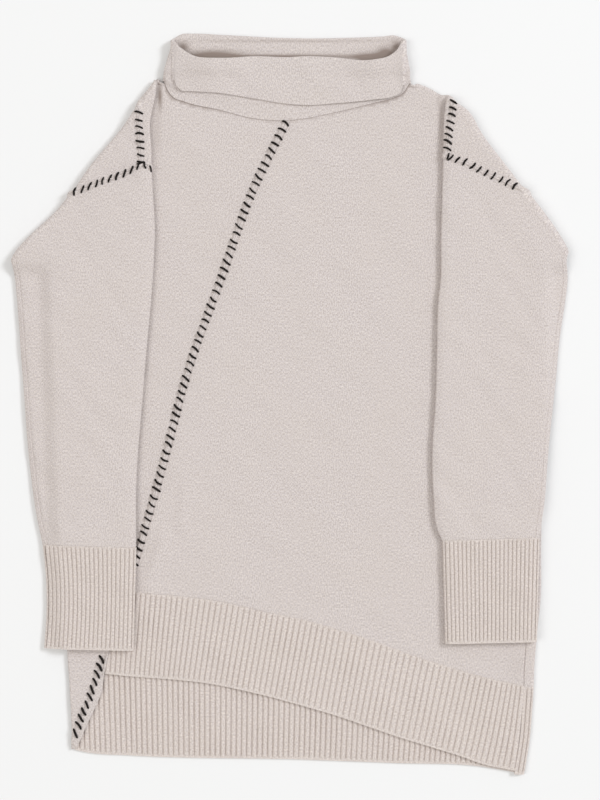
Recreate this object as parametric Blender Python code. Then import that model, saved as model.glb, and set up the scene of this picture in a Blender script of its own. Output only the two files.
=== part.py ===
"""A long knitted sweater laid flat on its back, with both sleeves folded in over the front.

All tables are in millimetres, seen from above: x to the right, y towards the collar, z up from
the surface that the sweater lies on. Each piece is first laid out as flat cloth, then turned
round the garment's edges, then folded over at the shoulders.
"""
import math

import bmesh
import bpy
import numpy as np
from mathutils import Vector, geometry

MM = 0.001

# The wall and the levels of its layers
WALL = 1.8
BETWEEN = 0.9
STACK = 2 * WALL + BETWEEN
CORE = STACK / 2
SEAM_GAP = 0.3
FRONT = WALL + BETWEEN
EDGE_MEAN = (BETWEEN + WALL) / 2
EDGE_RUN = math.pi * EDGE_MEAN
TURN_STEPS = 4

# The diagonal fold that lays each arm over the front
FOLD_AXIS = STACK + BETWEEN
FOLD_RUN = 8.0
CREASE_STEP = 15.0
CREASE_SPAN = (-60.0, 245.0)
LIFT = 2 * FOLD_AXIS - STACK
DROP_WIDTH = 18.0
DROP_START = 3.0

# Ribbed bands
RIB_VALLEY = 1.5
RIB_CREST = 2.4
RIB_UNDERSIDE = 0.3
HEM_PITCH = 5.8
CUFF_RIBS = 22

# Rolled collar
COLLAR_AIR = 1.4
COLLAR_BETWEEN = 0.45
COLLAR_CORE = BETWEEN / 2 + WALL + COLLAR_BETWEEN + WALL

SIDES = {"left": -1, "right": 1}

# Top and foot of each fold line at the garment's outline: top x, top y, foot x, foot y
CREASE = {"left": (-154.5, 352.0, -301.0, 169.5), "right": (182.0, 332.0, 307.7, 169.5)}

# Upper edge of each arm, from the neck to the cuff: y, x
OVERARM = {
    "left": ((365, -152.5), (356, -149), (347, -149), (334, -151.5), (320, -155.5), (308, -157.5),
             (296, -157), (280, -155.3), (263, -154.5), (235, -152.5), (191, -150), (158, -151), (114, -154), (59, -159), (4, -163.5), (-72, -169.5),
             (-155, -170.5)),
    "right": ((385, 171), (373.5, 172.4), (364, 172.9), (355, 173.6), (346, 173.3), (338, 171.5),
              (330, 169.4), (320, 167.8), (307, 167), (274, 166.5), (224, 165), (180, 164), (136, 163.5),
              (114, 161), (59, 159.5), (4, 158), (-50, 154.5), (-105, 156), (-138, 160), (-149.5, 165)),
}

# Lower edge of each arm, from the armpit to the cuff: y, x
UNDERARM = {
    "left": ((204.5, -315), (180, -311), (160, -308), (136, -304.5), (92, -300.5), (48, -297.5), (4, -294),
             (-39, -291), (-83, -286.5), (-127, -280), (-155, -274)),
    "right": ((197, 319.5), (180, 314), (167, 307.5), (156, 304.5), (145, 305), (114, 301.5), (70, 295),
              (26, 291), (-17, 286), (-61, 281.5), (-105, 278), (-147, 272)),
}

# Seam between body and sleeve, seen on the folded arm: x, y
ARMHOLE = {
    "left": ((-315, 204.5), (-276, 221.5), (-241, 237), (-210, 247), (-188, 253.5), (-172, 260.5),
             (-165, 264.5), (-159, 262.5), (-152.5, 257.5)),
    "right": ((166.5, 273.5), (176, 269.5), (191, 265), (207, 256.5), (229, 246.5), (258, 232), (286, 215.5),
              (319.5, 197)),
}

# How far the shoulder seam lies behind the upper edge: y, distance
SHOULDER_SEAM = {
    "left": ((365, 2), (351, 9.5), (333, 17), (318, 14), (304, 12.5), (290, 12.5), (258, 12)),
    "right": ((385, 1), (357, 2), (340, 4), (331, 7), (322, 8), (312, 7), (290, 5), (273, 3.8)),
}
ARMHOLE_TOP = 260.0

# Where the shoulder cloth starts to wrap over, beside the neck: y on the folded arm
SHOULDER_START = {"left": 361.0, "right": 381.0}
SHOULDER_EASE = 6.0
SHOULDER_STEPS = 20

# Outline of the body below the armpits: y, x
SIDE_LINE = {
    "left": ((161, -262.5), (4, -257), (-149, -251.5), (-273, -247), (-303, -245), (-347, -242.5),
             (-380, -241.5)),
    "right": ((161, 276), (4, 276.5), (-158, 275), (-220, 274), (-248, 271), (-288, 267.5), (-319, 266.5),
              (-340, 265), (-369, 262.5), (-407, 256.5)),
}
SIDE_START = 5.0
SIDE_EASE = 8.0

# How far the back comes round to the front at the right: y, distance from the edge
SIDE_SEAM = ((161, 0), (20, 2), (-140, 8), (-310, 9), (-407, 9))
SEAM_EASE = 4.0

# Neck seam: x, y
NECK_FRONT = ((-140.5, 355.5), (-137, 346.5), (-131.5, 339), (-119.5, 333.5), (-80, 324), (-42.5, 314.5),
              (-14, 312), (5, 313), (43.5, 320), (91, 331.5), (113, 337.5), (124, 344), (129.5, 352.5))
NECK_BACK = ((-140.5, 355.5), (-133.5, 350), (-117, 344.5), (-78.5, 339.5), (-1.5, 337.5), (70, 339.5),
             (108.5, 343), (122, 348), (129.5, 352.5))

# Slanting seam of the front: y, x
SLANT = ((312.5, -5), (235, -42.5), (141, -76.5), (33, -115), (-60, -139.5), (-148, -164.5), (-204, -181),
         (-276, -201.5), (-297, -206), (-340, -216.5))

# Free edge of the left front below the front's hem: x, y
VENT_EDGE = ((-208.5, -316), (-214.5, -331), (-220, -342), (-226, -355), (-232, -369), (-236, -377.5))

# Upper and lower edge of the front's ribbed hem: x, y
FRONT_RIB_TOP = ((-181, -205), (-162, -208), (-120, -211.5), (-64, -220), (-28, -229), (9, -236),
                 (45, -246.5), (82, -258), (119, -271.5), (160, -285), (210, -300), (256.5, -310))
FRONT_RIB_FOOT = ((-206, -296.5), (-172, -300), (-130, -303), (-91, -307.5), (-64, -312.5), (-28, -321),
                  (9, -331), (45, -341.5), (82, -354), (118, -366.5), (154, -377.5), (185, -387),
                  (207, -395), (246.5, -403.5))

# Upper and lower edge of the back's ribbed hem: x, y
BACK_RIB_TOP = ((-245, -289.5), (9, -295), (267, -311.5))
BACK_RIB_FOOT = ((-241.5, -380), (-226, -383.5), (-177, -387), (9, -391.5), (119, -395.5), (207, -399),
                 (235, -403.5), (256.5, -408))

# Each cuff: outer and inner x at the wrist seam, its y there, and the same at the open end
CUFF = {
    "left": {"seam": (-273.5, -154.5, -170.5, -157.5), "end": (-272, -268.5, -173.5, -270.5), "waist": 3.5},
    "right": {"seam": (272, -146.5, 166, -149.5), "end": (269, -261, 169, -263), "waist": 0.0},
}

# Collar, front: x at the seam, x at the roll, y of the roll, x and y of the turned-down edge
COLLAR_FRONT = (
    (-140.5, -127, 395, -128.5, 356),
    (-137, -124, 391, -126.5, 350),
    (-131.5, -119, 387, -121.5, 345),
    (-119.5, -109.5, 381, -112, 344),
    (-80, -76, 377.5, -78, 341.5),
    (-42.5, -41, 380, -40, 335.5),
    (-5, -5, 379, -5, 330),
    (20, 20, 380, 20, 328.5),
    (43.5, 43, 379, 43, 330),
    (91, 90, 375.5, 90, 334.5),
    (113, 109, 381, 112, 338),
    (124, 117, 388.5, 120.5, 343.5),
    (129.5, 120.5, 396, 122.5, 350),
)

# Collar, back: x at the seam, x and y of the roll, y of the turned-down edge
COLLAR_BACK = (
    (129.5, 120.5, 402, 355),
    (122, 113.5, 404, 357),
    (108.5, 101, 403, 358),
    (70, 67, 401.5, 358),
    (-1.5, -1, 401, 358),
    (-78.5, -76, 404.5, 358),
    (-117, -109, 406, 358),
    (-133.5, -122, 405, 357),
    (-140.5, -127, 402, 357),
)
COLLAR_RISE = (318.0, 40.0)
COLLAR_SETTLE = (357.0, 12.0)
COLLAR_REST = (0.35, 40.0, 60.0)
STAND_ROWS = (0.0, 0.18, 0.45, 1.0)
FLAP_ROWS = (0.0, 0.5, 1.0)

# Local easing of the outline: x, y, shift x, shift y, reach
EASING = (
    (-246.0, 226.5, 4.7, -3.7, 52.0),
    (-192.0, 303.0, 4.0, -3.2, 44.0),
    (-256.0, 211.0, 2.4, -1.9, 32.0),
    (309.5, 169.5, -3.6, -0.5, 24.0),
    (196.0, 319.0, 3.4, 2.6, 18.0),
    (173.0, 344.0, -1.5, -3.5, 18.0),
)

# Middle of the finished outline in the tables: x, y
CENTRE = (-1.63, 0.295)

# Points along an arm's edge at the armhole, and rows down a sleeve as shares of its length
ARM_COLUMNS = 13
ARM_SPACE = 0.03
SLEEVE_ROWS = (0.0, 0.03, 0.1, 0.18, 0.27, 0.38, 0.5, 0.62, 0.74, 0.85, 0.93, 1.0)
SLEEVE_BLEND = 0.27

KNIT_COLOR = (0.665, 0.604, 0.571, 1.0)
RIB_COLOR = (0.638, 0.571, 0.533, 1.0)


def ease(value):
    """Go smoothly from 0 to 1."""
    t = np.clip(value, 0.0, 1.0)
    return t * t * (3 - 2 * t)


def line_of(rows):
    """A smooth curve through rows of (position, value), held level past its ends."""
    table = np.array(sorted(rows), dtype=float)
    at, value = table[:, 0], table[:, 1]
    slope = np.gradient(value, at)

    def read(position):
        position = np.asarray(position, dtype=float)
        i = np.clip(np.searchsorted(at, position) - 1, 0, len(at) - 2)
        span = at[i + 1] - at[i]
        t = np.clip((position - at[i]) / span, 0.0, 1.0)
        rise = value[i] * (1 + 2 * t) * (1 - t) ** 2 + value[i + 1] * t * t * (3 - 2 * t)
        return rise + span * t * (1 - t) * (slope[i] * (1 - t) - slope[i + 1] * t)

    return read


def crease_axes(side):
    """Start of a fold's axis, the direction along it, and the direction out of the garment."""
    top_x, top_y, foot_x, foot_y = CREASE[side]
    length = math.hypot(foot_x - top_x, foot_y - top_y)
    along = ((foot_x - top_x) / length, (foot_y - top_y) / length)
    out = (SIDES[side] * -along[1], SIDES[side] * along[0])
    start = (top_x - FOLD_AXIS * out[0], top_y - FOLD_AXIS * out[1])
    return start, along, out


def to_crease(side, x, y):
    start, along, out = crease_axes(side)
    dx, dy = x - start[0], y - start[1]
    return dx * along[0] + dy * along[1], dx * out[0] + dy * out[1]


def from_crease(side, a, s):
    start, along, out = crease_axes(side)
    return start[0] + a * along[0] + s * out[0], start[1] + a * along[1] + s * out[1]


def unfold(side, x, y):
    """Places on the folded arm to places on the unfolded cloth, and back."""
    a, s = to_crease(side, x, y)
    return from_crease(side, a, FOLD_RUN - s)


def turn_edge(beyond, z):
    """Wrap cloth that reaches past an edge round to the garment's other layer."""
    radius = np.abs(z - CORE)
    angle = np.clip(beyond / EDGE_MEAN, 0.0, math.pi)
    reach = np.where(beyond > 0, radius * np.sin(angle) - np.maximum(beyond - EDGE_RUN, 0.0), beyond)
    return reach, CORE + (z - CORE) * np.cos(angle)


OVERARM_AT = {side: line_of(rows) for side, rows in OVERARM.items()}
UNDERARM_AT = {side: line_of(rows) for side, rows in UNDERARM.items()}
ARMHOLE_AT = {side: line_of(rows) for side, rows in ARMHOLE.items()}
SHOULDER_AT = {side: line_of(rows) for side, rows in SHOULDER_SEAM.items()}
SIDE_AT = {side: line_of(rows) for side, rows in SIDE_LINE.items()}
SIDE_SEAM_AT = line_of(SIDE_SEAM)
NECK_FRONT_AT = line_of(NECK_FRONT)
NECK_BACK_AT = line_of(NECK_BACK)
SLANT_AT = line_of(SLANT)
FRONT_TOP_AT = line_of(FRONT_RIB_TOP)
BACK_TOP_AT = line_of(BACK_RIB_TOP)


def overarm(side, y):
    """Tangent line of an arm's upper edge, inside its outline."""
    return OVERARM_AT[side](y) + SIDES[side] * CORE


def underarm(side, y):
    return UNDERARM_AT[side](y) - SIDES[side] * CORE


def body_side(side, y):
    return SIDE_AT[side](y) - SIDES[side] * CORE


def wrap_panel(x, y, z):
    """Turn a body panel's spare cloth round the shoulders' and the body's edges."""
    for side, sign in SIDES.items():
        arm_x, arm_y = unfold(side, x, y)
        beyond = -sign * (arm_x - overarm(side, arm_y))
        reach, level = turn_edge(beyond, z)
        turned_x, turned_y = unfold(side, overarm(side, arm_y) - sign * reach, arm_y)
        over = beyond > 1e-6
        x, y, z = np.where(over, turned_x, x), np.where(over, turned_y, y), np.where(over, level, z)
        beyond = sign * (x - body_side(side, y))
        low = (beyond > 1e-6) & (y < SIDE_LINE[side][0][0]) & ~over
        reach, level = turn_edge(beyond, z)
        x, z = np.where(low, body_side(side, y) + sign * reach, x), np.where(low, level, z)
    return x, y, z


def fold_arms(x, y, z):
    """Fold what lies past the two shoulder folds up and over the front."""
    for side in SIDES:
        a, s = to_crease(side, x, y)
        angle = math.pi * np.clip(s / FOLD_RUN, 0.0, 1.0)
        radius = FOLD_AXIS - z
        past = radius * np.sin(angle) - np.maximum(s - FOLD_RUN, 0.0)
        folded_x, folded_y = from_crease(side, a, past)
        over = s > 0
        x, y = np.where(over, folded_x, x), np.where(over, folded_y, y)
        z = np.where(over, FOLD_AXIS - radius * np.cos(angle), z)
    return x, y, z


def settle(x, y, z):
    """Lower the arms where they pass the body's sides."""
    drop = np.zeros_like(x)
    for side, sign in SIDES.items():
        armpit = SIDE_LINE[side][0][0]
        outside = ease(sign * (x - SIDE_AT[side](y)) / DROP_WIDTH)
        drop = drop + LIFT * outside * ease((armpit - DROP_START - y) / DROP_WIDTH)
    return x, y, np.maximum(np.where(z > STACK, z - drop, z), 0.0)


def ease_outline(x, y):
    """Shift places a little where the cloth lies off its straight folds."""
    shift_x, shift_y = np.zeros_like(x), np.zeros_like(y)
    for at_x, at_y, move_x, move_y, reach in EASING:
        weight = np.exp(-((x - at_x) ** 2 + (y - at_y) ** 2) / reach ** 2)
        shift_x, shift_y = shift_x + move_x * weight, shift_y + move_y * weight
    return x + shift_x, y + shift_y


def material(name, color):
    made = bpy.data.materials.new(name)
    made.use_nodes = True
    shader = made.node_tree.nodes["Principled BSDF"]
    shader.inputs["Base Color"].default_value = color
    shader.inputs["Roughness"].default_value = 0.9
    shader.inputs["Metallic"].default_value = 0.0
    return made


def cut_along_folds(bm):
    """Add the edges that a piece needs where it bends over a shoulder fold."""
    for side in SIDES:
        start, along, out = crease_axes(side)
        for step in range(TURN_STEPS + 1):
            s = FOLD_RUN * step / TURN_STEPS
            point = Vector((start[0] + s * out[0], start[1] + s * out[1], 0.0))
            parts = bm.verts[:] + bm.edges[:] + bm.faces[:]
            bmesh.ops.bisect_plane(bm, geom=parts, dist=1e-3, plane_co=point, plane_no=(out[0], out[1], 0.0))


def add_piece(name, points, faces, finish, folds=True):
    """Fold a closed mesh into place and add it to the scene as one solid."""
    bm = bmesh.new()
    verts = [bm.verts.new(p) for p in points]
    for face in faces:
        bm.faces.new([verts[i] for i in face])
    if folds:
        cut_along_folds(bm)
    bmesh.ops.triangulate(bm, faces=bm.faces[:])
    x, y, z = np.array([v.co[:] for v in bm.verts], dtype=float).T
    if folds:
        x, y, z = settle(*fold_arms(x, y, z))
    for vert, place in zip(bm.verts, np.array([*ease_outline(x, y), z]).T):
        vert.co = place
    bmesh.ops.translate(bm, vec=(-CENTRE[0], -CENTRE[1], 0.0), verts=bm.verts[:])
    bmesh.ops.scale(bm, vec=(MM, MM, MM), verts=bm.verts[:])
    bmesh.ops.recalc_face_normals(bm, faces=bm.faces[:])
    mesh = bpy.data.meshes.new(name)
    bm.to_mesh(mesh)
    bm.free()
    mesh.materials.append(finish)
    mesh.shade_smooth()
    mesh.set_sharp_from_angle(angle=math.radians(50))
    piece = bpy.data.objects.new(name, mesh)
    bpy.context.collection.objects.link(piece)
    return piece


def fill_outline(outline, lines):
    """Triangulate an outline, keeping the edges of some lines inside it."""
    points = [Vector(p) for p in outline]
    edges = [(i, (i + 1) % len(outline)) for i in range(len(outline))]
    for line in lines:
        first = len(points)
        points += [Vector(p) for p in line]
        edges += [(i, i + 1) for i in range(first, len(points) - 1)]
    made = geometry.delaunay_2d_cdt(points, edges, [], 1, 1e-4)
    return np.array([p[:] for p in made[0]]), [tuple(f) for f in made[2]]


def thicken(flat, faces, low, high):
    """Top, underside and rim of a flat piece between two levels."""
    count = len(flat)
    sides = {}
    for face in faces:
        for a, b in zip(face, face[1:] + face[:1]):
            sides[(a, b)] = True
    rim = [(a, b) for a, b in sides if (b, a) not in sides]
    points = [np.append(flat, np.full((count, 1), level), axis=1) for level in (low, high)]
    shell = [face[::-1] for face in faces] + [tuple(i + count for i in face) for face in faces]
    shell += [(a, b, b + count, a + count) for a, b in rim]
    return np.vstack(points), shell


def add_panel(name, outline, lines, level, finish):
    flat, faces = fill_outline(outline, lines)
    points, shell = thicken(flat, faces, level, level + WALL)
    wrapped = np.array(wrap_panel(*points.T)).T
    add_piece(name, wrapped, shell, finish)


def armhole_ends(side):
    """The two tangent lines' x where they meet the armhole."""
    top_y = ARMHOLE_AT[side](OVERARM_AT[side](ARMHOLE_TOP))
    low_y = UNDERARM[side][0][0]
    return float(overarm(side, top_y)), float(underarm(side, low_y))


def armhole_shares(side):
    """Places across an arm at the armhole, as shares from the upper edge to the lower one."""
    inner, outer = armhole_ends(side)
    seam = reach_at_armhole(side) / abs(outer - inner)
    even = np.linspace(0.0, 1.0, ARM_COLUMNS)
    return [0.0, seam / 2, seam] + [float(share) for share in even if share > seam + ARM_SPACE]


def reach_at_armhole(side):
    return float(SHOULDER_AT[side](ARMHOLE_TOP)) - CORE


def armhole_line(side, wrapped):
    """The body's edge at an armhole, from its spare cloth over the shoulder to the armpit."""
    sign = SIDES[side]
    inner, outer = armhole_ends(side)
    points = []
    if wrapped > 0:
        for back in (wrapped, reach_at_armhole(side) / 2):
            x = inner + sign * back
            y = float(ARMHOLE_AT[side](x))
            points.append((2 * float(overarm(side, y)) - x - sign * EDGE_RUN, y))
        for step in range(TURN_STEPS, 0, -1):
            x = inner - sign * EDGE_RUN * step / TURN_STEPS
            points.append((x, float(ARMHOLE_AT[side](inner))))
        start = inner
    else:
        start = inner - sign * wrapped
    for share in armhole_shares(side):
        x = inner + (outer - inner) * share
        if (x - start) * sign > -1e-6:
            points.append((x, float(ARMHOLE_AT[side](x))))
    if wrapped <= 0 and abs(points[0][0] - start) > 1e-6:
        points.insert(0, (start, float(ARMHOLE_AT[side](start))))
    return [(x, y + SEAM_GAP / 2) for x, y in points]


def shoulder_line(side, front):
    """The body's edge along a shoulder seam, from the neck to the armhole, on the folded arm."""
    sign = SIDES[side]
    neck_y = OVERARM[side][0][0]
    end_y = float(ARMHOLE_AT[side](armhole_ends(side)[0])) + SEAM_GAP / 2
    points = []
    for y in np.linspace(neck_y, end_y, SHOULDER_STEPS):
        seam = float(SHOULDER_AT[side](y)) - CORE
        grown = ease((SHOULDER_START[side] - y) / SHOULDER_EASE)
        past = (EDGE_RUN + seam - SEAM_GAP) * grown if front else (-seam - SEAM_GAP) * grown
        points.append((float(overarm(side, y)) - sign * past, y))
    return points[:-1]


def crease_lines(side):
    """Lines along a shoulder fold, where the cloth bends over."""
    places = np.arange(*CREASE_SPAN, CREASE_STEP)
    across = [FOLD_RUN * step / TURN_STEPS for step in range(TURN_STEPS + 1)]
    return [[from_crease(side, a, s) for a in places] for s in across]


def shoulder_turns(side):
    """Lines along a shoulder's edge, where the spare cloth turns."""
    sign = SIDES[side]
    end_y = float(ARMHOLE_AT[side](armhole_ends(side)[0])) + SEAM_GAP / 2
    lines = []
    for step in range(TURN_STEPS + 1):
        beyond = EDGE_RUN * step / TURN_STEPS
        ys = np.linspace(SHOULDER_START[side] - SHOULDER_EASE, end_y, SHOULDER_STEPS)
        arm = [(float(overarm(side, y)) - sign * beyond, float(y)) for y in ys]
        lines.append([unfold(side, x, y) for x, y in arm])
    return lines


def side_edge(side, past, end_y):
    """The body's edge down one side, past(y) being how far its cloth reaches beyond the tangent."""
    sign = SIDES[side]
    start_x, start_y = armpit(side)
    points = [(start_x - sign * SEAM_GAP, start_y - SIDE_START)]
    for y in np.linspace(start_y - SIDE_START - SIDE_EASE, end_y, 9):
        grown = float(ease((start_y - SIDE_START - y) / SIDE_EASE))
        points.append((float(body_side(side, y)) + sign * past(y) * grown, float(y)))
    return points


def side_turns(side, furthest, end_y):
    """Lines down one side, where the spare cloth turns."""
    sign = SIDES[side]
    start_y = armpit(side)[1]
    lines = []
    steps = np.arange(0, TURN_STEPS + 1) * EDGE_RUN / TURN_STEPS
    for beyond in steps[steps <= furthest + 1e-6]:
        ys = np.linspace(start_y - SIDE_START - SIDE_EASE, end_y, 9)
        lines.append([(float(body_side(side, y)) + sign * beyond, float(y)) for y in ys])
    return lines


def quarter_turn(y):
    return EDGE_RUN / 2 - SEAM_GAP / 2


def back_wrap(y):
    """How far the back reaches beyond the right side's tangent line."""
    seam = float(SIDE_SEAM_AT(y))
    return EDGE_RUN / 2 + (EDGE_RUN / 2 + seam) * float(ease(seam / SEAM_EASE)) - SEAM_GAP / 2


def front_wrap(y):
    return EDGE_RUN - back_wrap(y) - SEAM_GAP


def armpit(side):
    """The body's corner at the armpit, on the unfolded cloth."""
    x, y = unfold(side, *armhole_line(side, 1.0)[-1])
    return x, y


def arm_to_body(side, points):
    return [unfold(side, x, y) for x, y in points]


def body_shoulder(side, front):
    """Shoulder, armhole and armpit of a body panel, from the neck outwards."""
    wrap = reach_at_armhole(side) - SEAM_GAP / 2
    around = armhole_line(side, wrap if front else -wrap - SEAM_GAP)
    return arm_to_body(side, shoulder_line(side, front) + around)


def neck_line(read, start, end, gap):
    """Samples along the neck seam, close together where it is steep."""
    share = (1 - np.cos(np.linspace(0.0, math.pi, 21))) / 2
    xs = NECK_FRONT[0][0] + (NECK_FRONT[-1][0] - NECK_FRONT[0][0]) * share
    xs = [x for x in xs if start + 1.0 < x < end - 1.0]
    points = []
    for x in [start] + xs + [end]:
        slope = float(read(x + 0.5) - read(x - 0.5))
        points.append((float(x), float(read(x)) - gap * math.hypot(1.0, slope)))
    return points


def top_of_rib(read, start, end, gap):
    """The panel's edge along the top of a ribbed hem."""
    return [(float(x), float(read(x)) + gap) for x in np.linspace(start, end, 22)]


def back_panel(finish):
    neck = neck_line(NECK_BACK_AT, NECK_BACK[0][0], NECK_BACK[-1][0], SEAM_GAP)
    hem_right, hem_left = BACK_RIB_TOP[-1][1] + SEAM_GAP, BACK_RIB_TOP[0][1] + SEAM_GAP
    right = side_edge("right", back_wrap, hem_right)
    left = side_edge("left", quarter_turn, hem_left)
    hem = top_of_rib(BACK_TOP_AT, left[-1][0], right[-1][0], SEAM_GAP)[1:-1]
    outline = neck[1:-1] + body_shoulder("right", False) + right
    outline += hem[::-1] + left[::-1] + body_shoulder("left", False)[::-1]
    lines = side_turns("right", EDGE_RUN, hem_right + 4.0) + side_turns("left", 0.0, hem_left + 4.0)
    lines += crease_lines("left") + crease_lines("right")
    add_panel("back_panel", outline, lines, 0.0, finish)


def front_left_panel(finish):
    top_y, foot_y = SLANT[0][0], FRONT_RIB_FOOT[0][1] - 2 * SEAM_GAP
    neck = neck_line(NECK_FRONT_AT, NECK_FRONT[0][0], SLANT[0][1] - SEAM_GAP / 2, SEAM_GAP)
    slant = [(float(SLANT_AT(y)) - SEAM_GAP / 2, float(y)) for y in np.linspace(top_y, foot_y, 24)]
    end_y = SIDE_LINE["left"][-1][0]
    left = side_edge("left", quarter_turn, end_y)
    outline = neck[1:] + slant[1:] + list(VENT_EDGE) + left[::-1] + body_shoulder("left", True)[::-1]
    lines = shoulder_turns("left") + side_turns("left", 0.0, end_y + 6.0) + crease_lines("left")
    add_panel("front_left_panel", outline, lines, FRONT, finish)


def front_right_panel(finish):
    top_y, foot_y = SLANT[0][0], FRONT_RIB_TOP[0][1] + SEAM_GAP
    neck = neck_line(NECK_FRONT_AT, SLANT[0][1] + SEAM_GAP / 2, NECK_FRONT[-1][0], SEAM_GAP)
    slant = [(float(SLANT_AT(y)) + SEAM_GAP / 2, float(y)) for y in np.linspace(top_y, foot_y, 24)]
    end_y = FRONT_RIB_TOP[-1][1] + SEAM_GAP
    right = side_edge("right", front_wrap, end_y)
    hem = top_of_rib(FRONT_TOP_AT, slant[-1][0], right[-1][0], SEAM_GAP)[1:-1]
    outline = neck[:-1] + body_shoulder("right", True) + right + hem[::-1] + slant[1:][::-1]
    add_panel("front_right_panel", outline, shoulder_turns("right") + crease_lines("right"), FRONT, finish)


def rib_height(index):
    """Ribs alternate between a crest and a valley."""
    return RIB_CREST if index % 2 else RIB_VALLEY


def ribbed_sheet(name, columns, rows, level, place, finish):
    """A ribbed band between two edges; each column gives its upper and lower point and its ribs' side."""
    count = len(columns)
    points = []
    for low in (True, False):
        for row in range(rows):
            share = row / (rows - 1)
            for index, (top, foot, outer) in enumerate(columns):
                x = top[0] + (foot[0] - top[0]) * share
                y = top[1] + (foot[1] - top[1]) * share
                extra = rib_height(index) - WALL
                lift = -max(extra, -RIB_UNDERSIDE) * outer if low else WALL + extra * (1 - outer)
                points.append((x, y, level + lift))
    points = np.array(points)
    layer = rows * count
    faces = []
    for row in range(rows - 1):
        for i in range(count - 1):
            a = row * count + i
            faces.append((a, a + 1, a + 1 + count, a + count))
            b = a + layer
            faces.append((b, b + count, b + 1 + count, b + 1))
    for i in range(count - 1):
        foot = (rows - 1) * count + i
        faces.append((i, i + layer, i + 1 + layer, i + 1))
        faces.append((foot, foot + 1, foot + 1 + layer, foot + layer))
    for row in range(rows - 1):
        for i, flip in ((row * count, 0), (row * count + count - 1, 1)):
            side = (i, i + count, i + count + layer, i + layer)
            faces.append(side if flip else side[::-1])
    add_piece(name, np.array(place(*points.T)).T, faces, finish)


def read_edge(rows, start, end, count):
    """Evenly spaced points along an edge given as x, y."""
    read = line_of(rows)
    return [(float(x), float(read(x))) for x in np.linspace(start, end, count)]


def front_hem_rib(finish):
    count = 2 * int((FRONT_RIB_FOOT[-1][0] - FRONT_RIB_FOOT[0][0]) / HEM_PITCH) + 1
    end_x = float(body_side("right", FRONT_RIB_TOP[-1][1])) + front_wrap(FRONT_RIB_TOP[-1][1])
    top = read_edge(FRONT_RIB_TOP, float(SLANT_AT(FRONT_RIB_TOP[0][1])) + SEAM_GAP, end_x, count)
    foot_x = float(body_side("right", FRONT_RIB_FOOT[-1][1])) + front_wrap(FRONT_RIB_FOOT[-1][1])
    foot = read_edge(FRONT_RIB_FOOT, float(SLANT_AT(FRONT_RIB_FOOT[0][1])) + 2 * SEAM_GAP, foot_x, count)
    columns = [(a, b, 0) for a, b in zip(top, foot)]
    ribbed_sheet("front_hem_rib", columns, 3, FRONT, lambda x, y, z: (x, y, z), finish)


def back_hem_rib(finish):
    """The back's rib, flat on the surface, coming round to the front at its right end."""
    top_y, foot_y = BACK_RIB_TOP[-1][1], BACK_RIB_FOOT[-1][1]
    left_y, low_y = BACK_RIB_TOP[0][1], BACK_RIB_FOOT[0][1]
    flat_top = (float(body_side("left", left_y)), float(body_side("right", top_y)))
    flat_foot = (float(body_side("left", low_y)), float(body_side("right", foot_y)))
    count = 2 * int((flat_top[1] - flat_top[0]) / HEM_PITCH) + 1
    top = read_edge(BACK_RIB_TOP, flat_top[0], flat_top[1], count)
    foot = read_edge(BACK_RIB_FOOT, flat_foot[0], flat_foot[1], count)
    columns = [(a, b, 0) for a, b in zip(top, foot)]
    turns = [EDGE_RUN * step / TURN_STEPS for step in range(1, TURN_STEPS + 1)]
    spare = back_wrap(top_y) - EDGE_RUN
    turns += [EDGE_RUN + spare * step / 4 for step in range(1, 5)]
    for beyond in turns:
        columns.append(((flat_top[1] + beyond, top[-1][1]), (flat_foot[1] + beyond, foot[-1][1]), 1))
    ribbed_sheet("back_hem_rib", columns, 3, 0.0, wrap_panel, finish)


def ring_faces(stations, around):
    """Faces of a closed tube wall: outer and inner rings at each station, open ends capped."""
    faces = []
    for k in range(stations - 1):
        for i in range(around):
            j = (i + 1) % around
            outer, ahead = 2 * k * around, 2 * (k + 1) * around
            faces.append((outer + i, outer + j, ahead + j, ahead + i))
            inner, next_in = outer + around, ahead + around
            faces.append((inner + i, next_in + i, next_in + j, inner + j))
    last = 2 * (stations - 1) * around
    for i in range(around):
        j = (i + 1) % around
        faces.append((i, i + around, j + around, j))
        faces.append((last + i, last + j, last + j + around, last + i + around))
    return faces


def tube_ring(flats, turns):
    """Shares across and angles round a flattened tube: front layer, lower edge, back layer, upper edge."""
    ring = [(share, 90.0) for share in flats]
    ring += [(1.0, 90.0 - 180.0 * step / turns) for step in range(1, turns)]
    ring += [(share, -90.0) for share in flats[::-1]]
    ring += [(0.0, -90.0 - 180.0 * step / turns) for step in range(1, turns)]
    return ring


def tube_point(side, inner, outer, share, angle, radius):
    """A point of a flattened tube's section on the folded arm."""
    sign = SIDES[side]
    turn = math.radians(angle)
    x = inner + (outer - inner) * share + sign * radius * math.cos(turn)
    return x, CORE + radius * math.sin(turn)


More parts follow.
